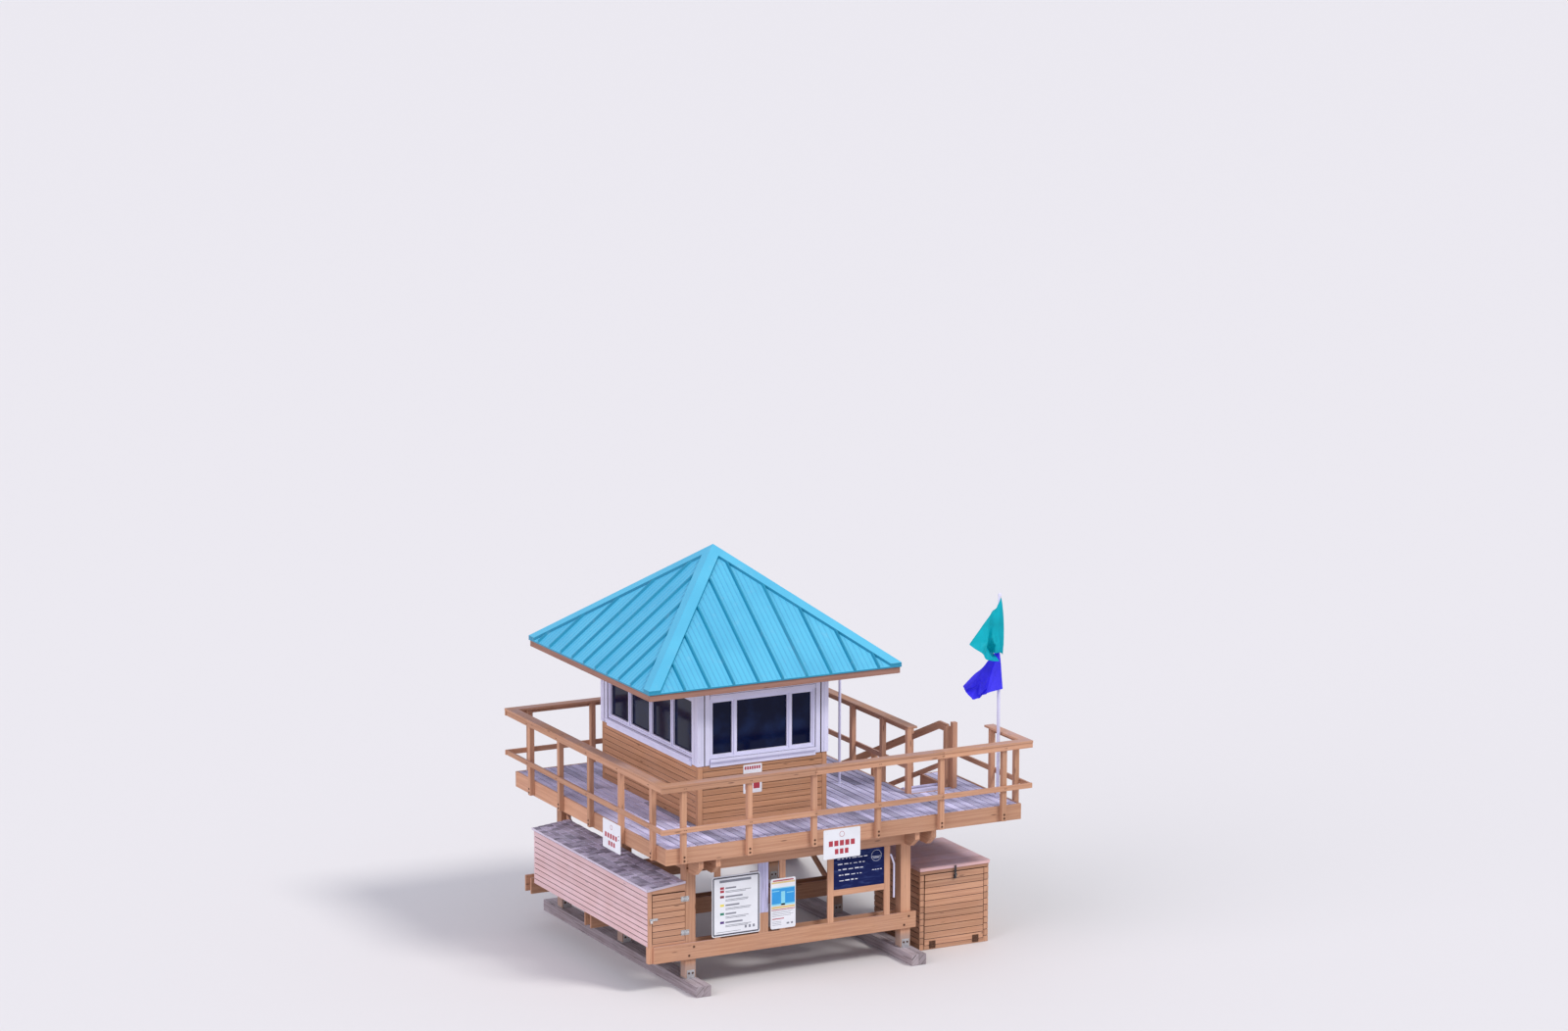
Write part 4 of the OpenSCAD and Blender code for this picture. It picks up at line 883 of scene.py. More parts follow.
end_boards = [(skin_l, box_r, skin_b, box_b, z0, z1)
              for z0, z1 in courses(box_low, tall, 0.096, 0.008)]
end_boards += [(skin_r, box_r, inner_f, skin_b, z0, z1)
               for z0, z1 in courses(box_low, tall, 0.096, 0.008)]
# The core is dark as painted shade in the open joints between the boards.
for name, sticks, finish, node_names, seed in (
        ("locker_core", core, groove_shade, ("locker_body",), 32),
        ("locker_front_frame", front_frame, stained, (), 33),
        ("locker_side_boards", pale_boards, bleached, (), 34),
        ("locker_end_boards", end_boards, siding, (), 35)):
    piece = timbers(name, sticks, finish, arris=0.003, seed=seed)
    fit(sawn(piece, (box_r, 0, box_high + box_rise),
             (-math.sin(roof_lean), 0, math.cos(roof_lean))), "stained_wood", *node_names)

# Locker roof: a sloping deck covered with split wood shingles in six courses, silver grey
# and curled, and bleached drip strips nailed along its left and front edges.
# The shingle colours are lighter and bluer than silver grey pine: painted light, where the deck
# above keeps the sun off the locker roof.
shingle_wood = wood_finish("shingle wood with painted light", (0.58, 0.52, 0.68), (0.30, 0.25, 0.34),
                           (0.74, 0.70, 0.86), 0.20, 0.09, 0.9, spread=0.42)
strip_wood = wood_finish("bleached strip", (0.68, 0.62, 0.74), (0.52, 0.46, 0.56),
                         (0.76, 0.70, 0.82), 0.3, 0.04, 0.85)
lot = random.Random(36)
shingles = blank("locker_shingles")
overhang, exposure, thick = 0.140, 0.1185, 0.007
reach, roof_mid = box_r + overhang, ((box_r - overhang) / 2, 2.715)


def on_slope(x, y, above):
    """A place that far above the underside of the locker roof."""
    return at(x, y, box_high + box_rise - (box_r - x) * math.tan(roof_lean) + above)


sloped = (0, -roof_lean, 0)
slab(on_slope(*roof_mid, 0.0115), (reach - 0.004, 4.56, 0.021), sloped)
for row in range(6):
    y = 0.432
    while y < 4.99:
        wide = min(lot.uniform(0.09, 0.17), 4.998 - y)
        length = min(0.165, reach - row * exposure - 0.004)
        start = 0.002 - overhang + row * exposure + (lot.uniform(-0.006, 0.006) if row else 0)
        middle = start + length / 2
        lift = 0.021 + thick * (1.6 - length / 2 / exposure) + lot.uniform(0, 0.002)
        slab(on_slope(middle, y + wide / 2, lift), (length, wide - 0.008, thick),
             (lot.uniform(-0.008, 0.008), -roof_lean + thick / exposure, 0))
        y += wide
fit(closed(shingles, shingle_wood, 0.0015, 1, seed=36), "weathered_wood", "locker_roof")
strips = blank("locker_drip_strips")
slab(on_slope(-0.1365, roof_mid[1], 0.022), (thick, 4.566, 0.042), sloped)
slab(on_slope((box_r - 0.133) / 2, 0.4335, 0.022), (reach - 0.012, thick, 0.042), sloped)
fit(closed(strips, strip_wood, 0.002, seed=37), "weathered_wood")

# Locker door: eight grooved boards on a back panel, hung on two galvanised butt hinges at
# the main post and locked on the left with a hasp and a padlock.
leaf_x, leaf_z = (-0.027, 0.572), (0.873, 1.712)
panel = [(*leaf_x, box_f + board_t, inner_f, *leaf_z)]
boards = [(*leaf_x, box_f, box_f + board_t, z0, z1) for z0, z1 in courses(*leaf_z, 0.105, 0.011)]
# The back panel is dark as painted shade between the door boards.
fit(timbers("locker_door_panel", panel, groove_shade, arris=0.002, steps=1, seed=38), "stained_wood",
    "locker_door", body="locker_leaf")
fit(timbers("locker_door_boards", boards, stained, arris=0.003, seed=39), "stained_wood",
    body="locker_leaf")


def ring(place, radius, thick, turn=(0, 0, 0), segments=28, sides=8):
    """Adds a ring of round wire."""
    bpy.ops.mesh.primitive_torus_add(location=place, rotation=turn, major_radius=radius,
                                     minor_radius=thick, major_segments=segments,
                                     minor_segments=sides)


def padlock(name, x, y, top, finish, metal):
    """Rounded body, steel shackle through a staple, and a keyhole plate under it."""
    facing_out = (quarter_turn, 0, 0)
    body = blank(name)
    slab(at(x, y, top - 0.021), (0.040, 0.018, 0.042))
    closed(body, finish, 0.004, 3)
    body.data.materials.append(metal)
    bpy.ops.object.mode_set(mode="EDIT")
    bpy.context.object.active_material_index = 1
    bpy.ops.mesh.select_all(action="DESELECT")
    ring(at(x, y, top), 0.012, 0.0032, facing_out, sides=10)
    bpy.ops.object.material_slot_assign()
    bpy.ops.mesh.select_all(action="DESELECT")
    rod(at(x, y - 0.0093, top - 0.026), 0.007, 0.001, facing_out, 20)
    bpy.ops.object.material_slot_assign()
    bpy.ops.object.mode_set(mode="OBJECT")
    bpy.ops.object.shade_smooth_by_angle(angle=math.radians(35))
    return body


plated = zinc_finish("padlock body", (0.90, 0.89, 0.90), False)
hinges = sawn(shaped("locker_hinge_leaves", "locker_hasp", zinc, 0), (0.30, 0, 0), (-1, 0, 0),
              fill=False)
round_edges(hinges, 0.0012)
fit(hinges, "galvanised_steel", "locker_hasp", body="locker_leaf")
hasp_z = (1.2725, 1.3125)
hasp = [(0.013, 0.063, 0.4425, box_f, *hasp_z), (-0.085, 0.063, 0.4385, 0.442, *hasp_z),
        (-0.061, -0.055, 0.424, 0.4385, 1.284, 1.301)]
fit(timbers("locker_hasp_strap", hasp, zinc, arris=0.001, seed=40), "galvanised_steel",
    body="locker_leaf")
fit(padlock("locker_padlock", -0.058, 0.4245, 1.281, plated, zinc), "galvanised_steel",
    body="locker_leaf")
hinge_z, screw_y, screw_dz = (1.003, 1.582), 0.444, (-0.030, 0.030)
screw_spots = [(x, screw_y, z + dz) for z in hinge_z for x in (0.512, 0.548) for dz in screw_dz]
bolts("locker_hinge_screws", screw_spots, "-Y", rusty_zinc, 0.0035, 8, body="locker_leaf")

# Fixed hinge halves of both doors, with their pins: rolled galvanised plate, screwed to the
# main post and to the cabinet's bottom rail.
fixed = shaped("fixed_hinge_leaves", "leaf_hinges", zinc, 0.0012, seed=41)
fixed.data.materials.append(rusty_zinc)
for face in fixed.data.polygons:
    face.material_index = 1 if face.center.x + deck_mid.x > 4 else 0
fit(fixed, "galvanised_steel", "leaf_hinges")
screw_spots = [(x, screw_y, z + dz) for z in hinge_z for x in (0.604, 0.632) for dz in screw_dz]
drop_x, drop_dx, drop_y = (5.440, 6.290), (-0.040, 0.0, 0.040), 0.704
screw_spots += [(x + dx, drop_y, 0.034) for x in drop_x for dx in drop_dx]
bolts("fixed_hinge_screws", screw_spots, "-Y", rusty_zinc, 0.0035, 8)

# Cabinet: a tall closed box that stands on the sand under the right edge of the deck.
# Grooved boards on a frame, a plain boarded lid, a front leaf that drops forward.
cab_l, cab_r, cab_f, cab_b, cab_top = 5.190, 6.540, 0.710, 2.340, 1.400
side_l, side_r = (cab_l + board_t, cab_l + frame_t), (cab_r - frame_t, cab_r - board_t)
behind, depth = (cab_f + board_t, cab_f + frame_t), (cab_f + board_t, cab_b - board_t)
stile_l, stile_r = cab_l + 0.09, cab_r - 0.09
core = [(side_l[0], side_r[1], behind[1], depth[1], 0, frame_t),
        (*side_l, *depth, frame_t, cab_top), (*side_r, *depth, frame_t, cab_top),
        (side_l[1], side_r[0], cab_b - frame_t, depth[1], frame_t, cab_top),
        (side_l[1], stile_l, *behind, 0, cab_top), (stile_r, side_r[0], *behind, 0, cab_top),
        (stile_l, stile_r, *behind, 0, 0.07), (stile_l, stile_r, *behind, 1.34, cab_top)]
front_y = (cab_f, cab_f + board_t)
boards = [(cab_l, cab_r, *front_y, 1.340, cab_top), (stile_l, stile_r, *front_y, 0, 0.070)]
for z0, z1 in courses(0.0, 1.336, 0.1115, 0.011):
    boards += [(cab_l, cab_l + 0.080, *front_y, z0, z1), (cab_r - 0.088, cab_r, *front_y, z0, z1)]
for z0, z1 in courses(0.0, cab_top, 0.100, 0.012):
    boards += [(cab_l, side_l[0], front_y[1], cab_b, z0, z1),
               (side_r[1], cab_r, front_y[1], cab_b, z0, z1),
               (side_l[0], side_r[1], depth[1], cab_b, z0, z1)]
# The core is dark as painted shade in the open joints between the boards.
fit(timbers("cabinet_core", core, groove_shade, arris=0.002, steps=1, seed=42), "stained_wood",
    "cabinet_body")
fit(timbers("cabinet_boards", boards, stained, arris=0.003, seed=43), "stained_wood")

# Cabinet lid: five wide boards on a frame, stain worn through to mauve brown on top.
lid_wood = wood_finish("worn lid stain", (0.80, 0.51, 0.49), (0.62, 0.37, 0.36),
                       (0.70, 0.53, 0.61), 0.45, 0.02)
lid_l, lid_r, lid_f, lid_b, lid_board = 5.175, 6.555, 0.685, 2.355, 0.334
edge_l, edge_r, edge_z = lid_l + 0.004, lid_r - 0.004, (cab_top, 1.438)
lid = [(lid_l, lid_r, lid_f + lid_board * k, lid_f + lid_board * (k + 1) - 0.004, 1.438, 1.460)
       for k in range(5)]
lid += [(edge_l, edge_r, lid_f + 0.003, lid_f + 0.025, *edge_z),
        (edge_l, edge_r, lid_b - 0.028, lid_b - 0.006, *edge_z),
        (edge_l, edge_l + 0.022, lid_f + 0.025, lid_b - 0.028, *edge_z),
        (edge_r - 0.022, edge_r, lid_f + 0.025, lid_b - 0.028, *edge_z),
        (cab_l + 0.02, cab_r - 0.02, cab_f + 0.02, cab_b - 0.02, *edge_z)]
fit(timbers("cabinet_lid_boards", lid, lid_wood, arris=0.003, seed=44), "stained_wood",
    "cabinet_lid")

# Cabinet door: eleven grooved boards on a back panel, hinged along its bottom edge and held
# at the top by a black hasp that reaches up over the lid's edge, with a padlock.
leaf_x, leaf_z = (5.288, 6.442), (0.078, 1.332)
panel = [(*leaf_x, *behind, *leaf_z)]
boards = [(*leaf_x, *front_y, z0, z1) for z0, z1 in courses(*leaf_z, 0.114, 0.011)]
# The back panel is dark as painted shade between the door boards.
fit(timbers("cabinet_door_panel", panel, groove_shade, arris=0.002, steps=1, seed=45),
    "stained_wood", "cabinet_door", body="cabinet_leaf")
fit(timbers("cabinet_door_boards", boards, stained, arris=0.003, seed=46), "stained_wood",
    body="cabinet_leaf")
black_iron = paint_finish("black iron", (0.035, 0.033, 0.040), (0.12, 0.08, 0.06), 0.5)
hinges = sawn(shaped("cabinet_hinge_leaves", "cabinet_hasp", rusty_zinc, 0), (0, 0, 0.60),
              (0, 0, 1), fill=False)
round_edges(hinges, 0.0012)
fit(hinges, "galvanised_steel", "cabinet_hasp", body="cabinet_leaf")
hasp_x = (5.845, 5.885)
hasp = [(*hasp_x, 0.6775, cab_f, 1.212, 1.272), (*hasp_x, 0.6735, 0.677, 1.212, 1.445),
        (5.862, 5.868, 0.655, 0.6735, 1.308, 1.325)]
fit(timbers("cabinet_hasp_strap", hasp, black_iron, arris=0.001, seed=47), "galvanised_steel",
    body="cabinet_leaf")
fit(padlock("cabinet_padlock", 5.865, 0.6595, 1.302, black_iron, zinc), "galvanised_steel",
    body="cabinet_leaf")
screw_spots = [(x + dx, drop_y, z) for x in drop_x for z in (0.095, 0.130) for dx in drop_dx]
bolts("cabinet_hinge_screws", screw_spots, "-Y", rusty_zinc, 0.0035, 8, body="cabinet_leaf")

# Uprights: planks screwed between the tie plank and the header under the deck, which carry
# the two notice boards and the chalkboard, with a rail under the chalkboard.
board_y, board_z = (0.412, 0.450), (0.820, 2.031)
patch_x, patch_low = (1.930, 2.115), 1.165
uprights = [(x0, x1, *board_y, *board_z) for x0, x1 in
            ((1.110, 1.220), (2.330, 2.440), (3.245, 3.355), (4.330, 4.440))]
uprights += [(3.355, 4.330, *board_y, 1.275, 1.380),
             (*patch_x, *board_y, board_z[0], patch_low - 0.001)]
fit(timbers("board_upright_planks", uprights, stained, arris=0.004, seed=48), "stained_wood",
    "board_uprights")
# Above patch_low this upright is in grey deck wood, as painted shade on its upper part.
fit(timbers("upright_plank_painted_shade", [(*patch_x, *board_y, patch_low + 0.001, board_z[1])],
            deck_wood, arris=0.004, seed=481), "stained_wood")

# Chalkboard: slate grey painted board let in between the uprights, with wiped chalk.
slate, tree, shader = new_finish("chalkboard paint", 0.8, specular=0.12)
where = node(tree, "ShaderNodeTexCoord").outputs["Object"]
dust = clouds(tree, stretched(tree, where, (2.0, 1.0, 7.0)), 2.2, 7.0, Distortion=0.8)
tree.links.new(blend_colours(tree, ramp(tree, dust, 0.45, 0.90), (0.008, 0.014, 0.085),
                             (0.05, 0.08, 0.24)), shader.inputs["Base Color"])
fit(timbers("chalkboard", [(3.355, 4.330, 0.425, 0.437, 1.380, board_z[1])], slate,
            arris=0.001, steps=1, seed=49), "slate", "chalk_slate")
chalk = paint_finish("chalk", (0.80, 0.82, 0.92), (0.55, 0.57, 0.66), 0.9)
lot = random.Random(50)
strokes, chalk_y = [], (0.4247, 0.425)
for row in range(5):
    x, z = 3.43 + 0.01 * row, 1.90 - 0.095 * row
    while x < 3.95 - 0.03 * row:
        wide = lot.uniform(0.02, 0.09)
        strokes.append((x, x + wide, *chalk_y, z, z + lot.uniform(0.010, 0.022)))
        x += wide + lot.uniform(0.018, 0.04)
strokes += [(4.10 + 0.05 * k, 4.135 + 0.05 * k, *chalk_y, 1.640, 1.652) for k in range(4)]
strokes += [(4.095, 4.265, *chalk_y, 1.872, 1.880), (4.12, 4.24, *chalk_y, 1.845, 1.857)]
fit(timbers("chalk_strokes", strokes, chalk, arris=0.00005, steps=1, seed=50), "slate")
chalk_ring = blank("chalk_ring")
ring(at(4.180, 0.4248, 1.890), 0.095, 0.003, (quarter_turn, 0, 0), 40, 6)
fit(closed(chalk_ring, chalk), "slate")

# Notice boards: white printed sheets on aluminium backs. The one with a row of coloured
# flag marks has a grey frame, the narrow one a blue water picture. All marks are plain.
sheet_white = paint_finish("white sign sheet", (0.80, 0.82, 0.88), (0.66, 0.66, 0.70), 0.35)


def plate(name, centre, wide, tall, thick, radius, finish, turn=0.0):
    """Flat sheet with rounded corners, facing the land side, or the left if turned."""
    bpy.ops.object.select_all(action="DESELECT")
    bpy.ops.mesh.primitive_plane_add(size=1, location=at(*centre),
                                     rotation=(quarter_turn, 0, turn))
    piece = bpy.context.object
    piece.name = piece.data.name = name
    piece.scale = (wide, tall, 1)
    bpy.ops.object.transform_apply(location=True, rotation=True, scale=True)
    bpy.ops.object.mode_set(mode="EDIT")
    bpy.ops.mesh.select_all(action="SELECT")
    bpy.ops.mesh.bevel(offset=radius, segments=6, affect="VERTICES")
    inward = Matrix.Rotation(turn, 3, "Z") @ Vector((0, thick, 0))
    bpy.ops.mesh.extrude_region_move(TRANSFORM_OT_translate={"value": inward})
    bpy.ops.mesh.select_all(action="SELECT")
    bpy.ops.mesh.normals_make_consistent(inside=False)
    return closed(piece, finish, 0.0008)


def prints(name, marks, finish):
    """Flat printed marks, each (low corner, size) a hair proud of its sheet."""
    piece = blank(name)
    for low, size in marks:
        slab(at(*(Vector(low) + Vector(size) / 2)), size)
    return closed(piece, finish)


frame_ink = paint_finish("dark grey frame", (0.07, 0.07, 0.10), (0.12, 0.12, 0.15), 0.5)
inks = {}
for ink, colour, worn, rough in (("red", (0.42, 0.035, 0.06), (0.5, 0.1, 0.12), 0.45),
                                 ("grey", (0.22, 0.23, 0.28), (0.3, 0.3, 0.34), 0.5),
                                 ("dark_red", (0.20, 0.02, 0.04), (0.3, 0.1, 0.1), 0.45),
                                 ("yellow", (0.80, 0.68, 0.12), (0.7, 0.6, 0.3), 0.45),
                                 ("green", (0.02, 0.22, 0.14), (0.1, 0.3, 0.2), 0.45),
                                 ("purple", (0.08, 0.03, 0.20), (0.2, 0.1, 0.3), 0.45),
                                 ("blue", (0.02, 0.32, 0.75), (0.1, 0.45, 0.8), 0.4),
                                 ("pale_blue", (0.25, 0.68, 0.85), (0.4, 0.7, 0.8), 0.4),
                                 ("sand", (0.72, 0.55, 0.25), (0.7, 0.6, 0.4), 0.45)):
    inks[ink] = paint_finish(ink.replace("_", " ") + " ink", colour, worn, rough)
legend = plate("legend_board", (1.4975, 0.3965, 1.375), 0.895, 1.040, 0.0155, 0.030, sheet_white)
fit(legend, "sign_white", "notice_boards")
strip_x, strip_y, strip_z = (1.075, 1.920), (0.394, 0.3965), (0.890, 1.860)
frame_strips = [(*strip_x, *strip_y, 0.873, 0.897), (*strip_x, *strip_y, 1.853, 1.877),
                (1.062, 1.086, *strip_y, *strip_z), (1.909, 1.933, *strip_y, *strip_z)]
fit(timbers("legend_board_frame", frame_strips, frame_ink, arris=0.001, seed=51), "sign_white")
face_y, ink_t = 0.3962, 0.0003
marks = {key: [] for key in inks}


def mark(ink, x, y, z, wide, tall, turned=False):
    """One printed block; x, y, z is its low corner, and turned ones face the left."""
    marks[ink].append(((x, y, z), (ink_t, wide, tall) if turned else (wide, ink_t, tall)))


mark("grey", 1.19, face_y, 1.780, 0.59, 0.045)
for k, colour in enumerate(("red", "dark_red", "yellow", "green", "purple")):
    z = 1.664 - 0.148 * k
    mark(colour, 1.200, face_y, z, 0.074, 0.042)
    if k == 0:
        mark(colour, 1.200, face_y, z - 0.056, 0.074, 0.042)
    mark("grey", 1.300, face_y, z + 0.004, 0.20 + 0.06 * ((k * 2) % 3), 0.028)
    mark("grey", 1.300, face_y, z - 0.040, 0.48 - 0.05 * (k % 2), 0.010)
    mark("grey", 1.300, face_y, z - 0.062, 0.38 + 0.04 * (k % 3), 0.010)
for k in range(3):
    mark("grey", 1.66 + 0.075 * k, face_y, 0.955, 0.038, 0.048)
mark("grey", 1.13, face_y, 0.925, 0.45, 0.008)
safety = plate("safety_board", (2.385, 0.394, 1.290), 0.470, 0.870, 0.018, 0.030, sheet_white)
fit(safety, "sign_white")
face_y = 0.3938
for ink, x, z, wide, tall in (("sand", 2.165, 1.640, 0.44, 0.030),
                              ("red", 2.19, 1.678, 0.39, 0.022),
                              ("blue", 2.165, 1.256, 0.44, 0.312),
                              ("sand", 2.165, 1.205, 0.44, 0.040),
                              ("red", 2.165, 1.178, 0.44, 0.014)):
    mark(ink, x, face_y, z, wide, tall)
for k in range(4):
    mark("grey", 2.18, face_y, 1.150 - 0.026 * k, 0.40 - 0.05 * (k % 2), 0.006)
mark("red", 2.18, face_y, 1.020, 0.22, 0.016)
for k in range(3):
    mark("grey", 2.18, face_y, 0.975 - 0.028 * k, 0.17, 0.006)
for x, wide in ((2.45, 0.05), (2.53, 0.04)):
    mark("grey", x, face_y, 0.92, wide, 0.03)
for x, z, wide, tall in ((2.345, 1.256, 0.075, 0.24), (2.165, 1.256, 0.44, 0.030),
                         (2.18, 1.50, 0.13, 0.014), (2.45, 1.46, 0.13, 0.014),
                         (2.165, 1.550, 0.44, 0.018)):
    mark("pale_blue", x, face_y - 0.0002, z, wide, tall)

# Sign plates: two tower signs, on the rim and on a left rail post, and one on the front
# wall. White sheets with rows of plain red marks, and a thin red ring on the tower signs.
rim_plate = plate("rim_sign", (3.285, -0.006, 2.315), 0.700, 0.510, 0.006, 0.020, sheet_white)
fit(rim_plate, "sign_white", "sign_plates")
side_plate = plate("side_sign", (-0.095, 1.873, 2.400), 0.686, 0.500, 0.006, 0.020,
                   sheet_white, -quarter_turn)
fit(side_plate, "sign_white")
wall_plate = plate("wall_sign", (2.175, 1.114, 3.3075), 0.350, 0.495, 0.006, 0.015, sheet_white)
fit(wall_plate, "sign_white")
rim_face, side_face, wall_face = -0.0062, -0.0953, 1.1138
for k in range(5):
    mark("red", 3.035 + 0.104 * k, rim_face, 2.275, 0.078, 0.095)
    mark("red", side_face, 1.665 + 0.100 * k, 2.345, 0.070, 0.085, turned=True)
for k in range(3):
    mark("red", 3.150 + 0.095 * k, rim_face, 2.135, 0.068, 0.090)
    mark("red", side_face, 1.745 + 0.094 * k, 2.220, 0.066, 0.080, turned=True)
for k in range(7):
    mark("red", 2.025 + 0.044 * k, wall_face, 3.47, 0.032, 0.055)
for x in (2.035, 2.19):
    mark("red", x, wall_face, 3.13, 0.12, 0.26)
for key, many in marks.items():
    fit(prints("print_" + key, many, inks[key]), "sign_white")
rings = blank("print_rings")
ring(at(3.285, rim_face, 2.475), 0.045, 0.003, (quarter_turn, 0, 0), 32)
ring(at(side_face, 1.880, 2.545), 0.038, 0.003, (0, quarter_turn, 0), 32)
fit(closed(rings, inks["red"]), "sign_white")

# Bent pipe: white plastic pipe fixed to the right upright, bent out and hanging down.
tube = shaped("hanging_bent_pipe", "bent_pipe", white, 0)
bpy.ops.object.shade_smooth_by_angle(angle=math.radians(40))
fit(tube, "white_paint", "bent_pipe")

# Flagpole: white painted tube on a flange bolted to the deck, with a round cap and a cleat.
pole_x, pole_y, pole_r = 6.652, 0.620, 0.0285
pole_tall = 6.160 - deck_top - pole_r
foot = at(pole_x, pole_y, deck_top)
pole = blank("flagpole_tube")
rod(foot + Vector((0, 0, pole_tall / 2)), pole_r, pole_tall, sides=40)
rod(foot + Vector((0, 0, flange_t / 2)), flange_r, flange_t, sides=40)
bpy.ops.mesh.primitive_uv_sphere_add(segments=32, ring_count=12, radius=pole_r,
                                     location=foot + Vector((0, 0, pole_tall)))
slab(foot + Vector((0, -0.032, 1.15)), (0.014, 0.012, 0.10))
in_order()
closed(pole, white, 0.0015)
bpy.ops.object.shade_smooth_by_angle(angle=math.radians(35))
fit(pole, "white_paint", "flagpole")

# Flags: two plain nylon flags with a sewn hem and a canvas heading, clipped to the pole
# and hanging in a light sea breeze towards the left.


def nylon(name, colour, deep):
    """Thin woven nylon that lets some light through."""
    finish, tree, shader = new_finish(name, 0.55, specular=0.3)
    where = node(tree, "ShaderNodeUVMap", uv_map="cloth").outputs[0]
    weave, fade = clouds(tree, where, 500.0, 2.0), clouds(tree, where, 3.0, 4.0)
    axes = node(tree, "ShaderNodeSeparateXYZ", {0: where})
    hem = maths(tree, "LESS_THAN", axes.outputs[1], 0.012)
    base = blend_colours(tree, ramp(tree, fade, 0.3, 0.7), colour, deep)
    base = blend_colours(tree, hem, base, deep)
    tree.links.new(base, shader.inputs["Base Color"])
    glow = node(tree, "ShaderNodeBsdfTranslucent", {"Color": base})
    mix = node(tree, "ShaderNodeMixShader", {0: 0.35, 1: shader.outputs[0], 2: glow.outputs[0]})
    tree.links.new(mix.outputs[0], tree.nodes["Material Output"].inputs["Surface"])
    emboss(tree, shader, weave, 0.1, 0.0003)
    return finish


canvas = paint_finish("canvas heading", (0.72, 0.70, 0.68), (0.6, 0.58, 0.55), 0.8)


def flag(name, node_name, slot, finish, hoist, width, drop, pins):
    """A flag of width by drop that hangs from its heading at hoist. pins are the points
    (share of the width, share of the drop) that the breeze brings to a place off the hoist."""
    bpy.ops.object.select_all(action="DESELECT")
    bpy.ops.mesh.primitive_grid_add(x_subdivisions=36, y_subdivisions=26, size=1)
    cloth = bpy.context.object
    cloth.name = cloth.data.name = name
    mesh = cloth.data
    spots = [(0.5 - v.co.x, 0.5 - v.co.y) for v in mesh.vertices]
    sewn = mesh.uv_layers.new(name="cloth")
    for face in mesh.polygons:
        face.material_index = 1 if all(spots[i][0] < 0.04 for i in face.vertices) else 0
        for k in face.loop_indices:
            u, v = spots[mesh.loops[k].vertex_index]
            sewn.data[k].uv = (u * width, v * drop)
    anchor = at(*hoist)
    for index, (u, v) in enumerate(spots):
        ripple = 0.02 * u * math.sin(7 * u + 4 * v)
        mesh.vertices[index].co = anchor + Vector((-u * width, ripple, -v * drop))
    cloth.shape_key_add(name="flat")
    blown = cloth.shape_key_add(name="blown")
    held = cloth.vertex_groups.new(name="held")
    held.add([index for index, (u, v) in enumerate(spots) if u < 0.001], 1.0, "REPLACE")
    for pin, place in pins.items():
        index = min(range(len(spots)),
                    key=lambda k: abs(spots[k][0] - pin[0]) + abs(spots[k][1] - pin[1]))
        held.add([index], 1.0, "REPLACE")
        blown.data[index].co = anchor + Vector(place)
    for moment, value in ((1, 0), (45, 1)):
        blown.value = value
        blown.keyframe_insert("value", frame=moment)
    bpy.ops.object.modifier_add(type="CLOTH")
    settings = cloth.modifiers[-1].settings
    settings.quality, settings.mass, settings.air_damping = 6, 0.12, 2.0
    settings.tension_stiffness = settings.compression_stiffness = 60
    settings.shear_stiffness, settings.bending_stiffness = 30, 0.8
    settings.vertex_group_mass = "held"
    touch = cloth.modifiers[-1].collision_settings
    touch.use_self_collision, touch.self_distance_min, touch.distance_min = True, 0.004, 0.004
    for moment in range(1, 111):
        bpy.context.scene.frame_set(moment)
    bpy.ops.object.convert(target="MESH")
    bpy.context.scene.frame_set(1)
    cloth.data.materials.append(finish)
    cloth.data.materials.append(canvas)
    bpy.ops.object.modifier_add(type="SUBSURF")
    bpy.ops.object.modifier_apply(modifier=cloth.modifiers[-1].name)
    bpy.ops.object.shade_smooth()
    return fit(cloth, slot, node_name)


def clips(name, heights):
    """Plated snap rings round the pole that hold a heading to it."""
    piece = blank(name)
    for z in heights:
        ring(at(pole_x - 0.0015, pole_y, z), 0.0325, 0.0025)
    closed(piece, plated)
    bpy.ops.object.shade_smooth_by_angle(angle=math.radians(40))
    return fit(piece, "galvanised_steel")


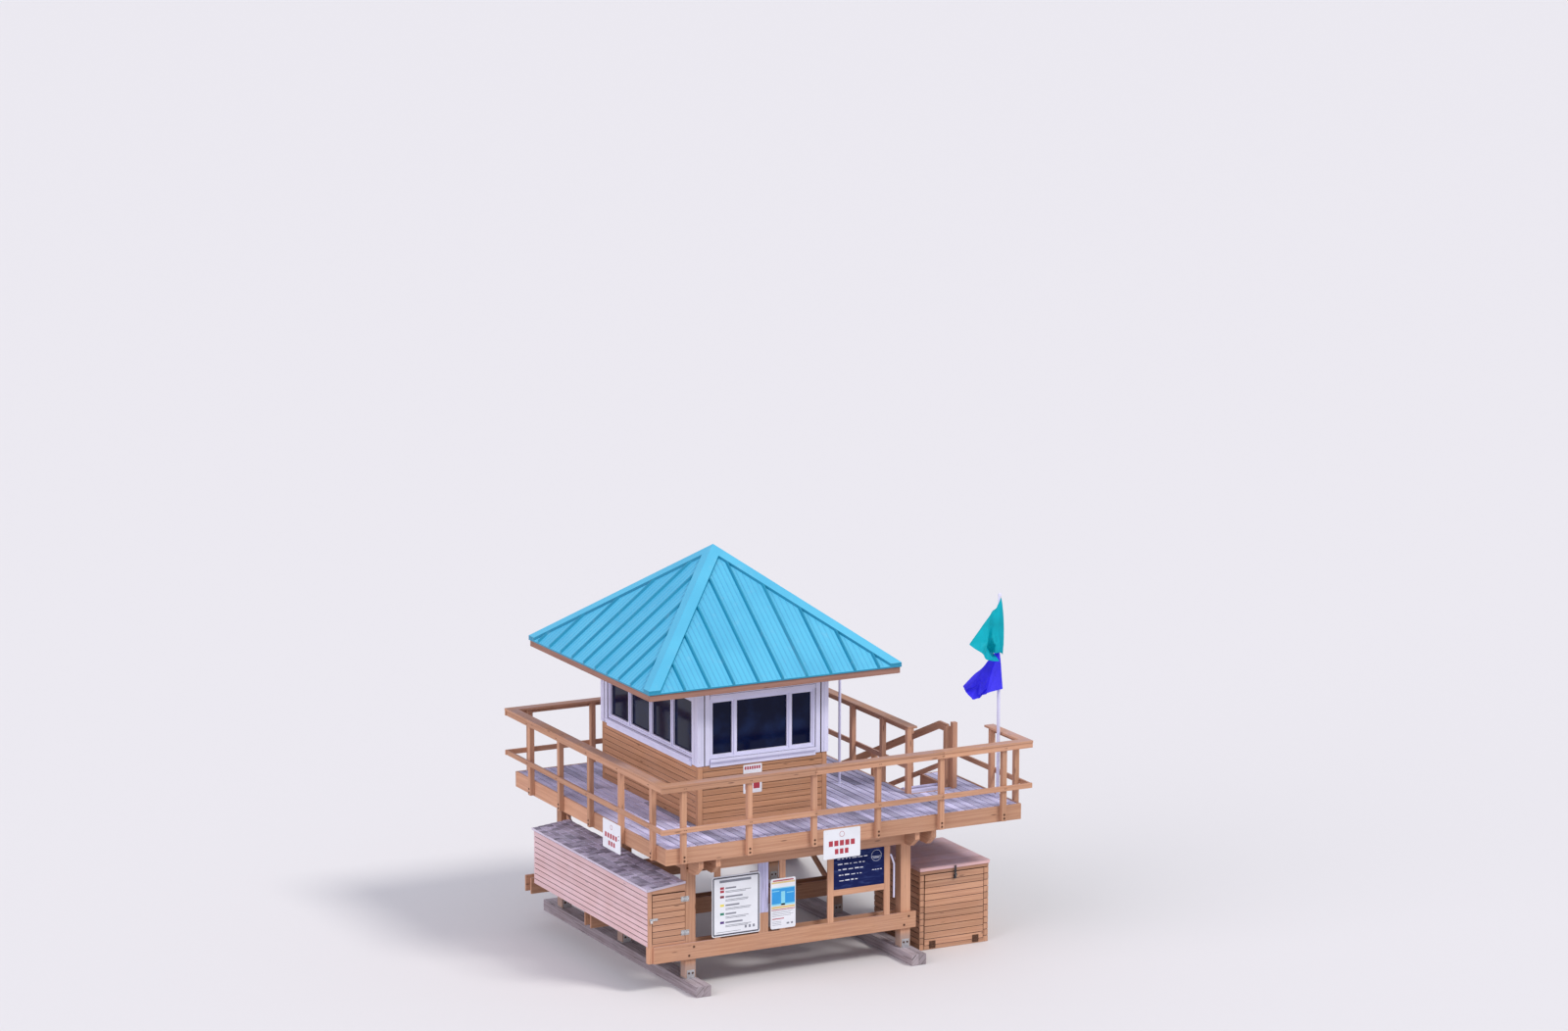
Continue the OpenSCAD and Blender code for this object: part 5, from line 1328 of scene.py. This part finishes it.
bpy.ops.object.select_all(action="DESELECT")
bpy.context.view_layer.objects.active = pole
bpy.ops.object.modifier_add(type="COLLISION")
pole.collision.thickness_outer = 0.003
green = flag("green_flag", "flag_green", "green_cloth",
             nylon("green nylon", (0.0, 0.52, 0.62), (0.0, 0.42, 0.50)),
             (pole_x + 0.008, pole_y - 0.036, 6.120), 1.03, 0.72,
             {(0.33, 0): (-0.205, -0.03, -0.262), (0.67, 0): (-0.420, -0.04, -0.523),
              (1, 0): (-0.645, -0.04, -0.785), (0.34, 1): (-0.015, -0.10, -1.035),
              (0.67, 1): (-0.130, 0.10, -0.985), (1, 1): (-0.090, -0.12, -1.115)})
green_clips = clips("green_flag_clips", (6.105, 5.415))
purple = flag("purple_flag", "flag_purple", "purple_cloth",
              nylon("purple nylon", (0.070, 0.055, 0.98), (0.055, 0.045, 0.84)),
              (pole_x + 0.006, pole_y - 0.034, 5.200), 0.94, 0.70,
              {(0.33, 0): (-0.225, 0.03, -0.200), (0.67, 0): (-0.455, 0.06, -0.405),
               (1, 0): (-0.690, 0.08, -0.615), (1, 0.5): (-0.490, 0.30, -0.760),
               (1, 1): (-0.515, 0.05, -0.860), (0.7, 1): (-0.285, 0.18, -0.855),
               (0.4, 1): (-0.245, 0.0, -0.765)})
purple_clips = clips("purple_flag_clips", (5.185, 4.515))
bpy.ops.object.select_all(action="DESELECT")
bpy.context.view_layer.objects.active = pole
bpy.ops.object.modifier_remove(modifier=pole.modifiers[-1].name)

# Studio: a plain pale floor, a soft key from the front right, a softer pinkish light from
# the left and a pale sky.
bpy.ops.mesh.primitive_plane_add(size=400, location=(0, 0, -0.002))
ground = bpy.context.object
ground.name = "studio_floor"
paper, tree, shader = new_finish("studio paper", 0.9)
shader.inputs["Base Color"].default_value = (0.74, 0.73, 0.75, 1)
ground.data.materials.append(paper)
world = bpy.data.worlds.new("studio sky")
bpy.context.scene.world = world
world.use_nodes = True
world.node_tree.nodes["Background"].inputs[0].default_value = (0.86, 0.90, 1.0, 1)
world.node_tree.nodes["Background"].inputs[1].default_value = 0.62
for energy, spread, colour, turn in ((1.7, 14, (1.0, 0.96, 0.90), (42, 0, 32)),
                                     (1.3, 50, (1.0, 0.90, 0.96), (12, -60, 0))):
    bpy.ops.object.light_add(type="SUN", rotation=[math.radians(a) for a in turn])
    sun = bpy.context.object.data
    sun.energy, sun.angle, sun.color = energy, math.radians(spread), colour
bpy.context.scene.view_settings.view_transform = "Standard"
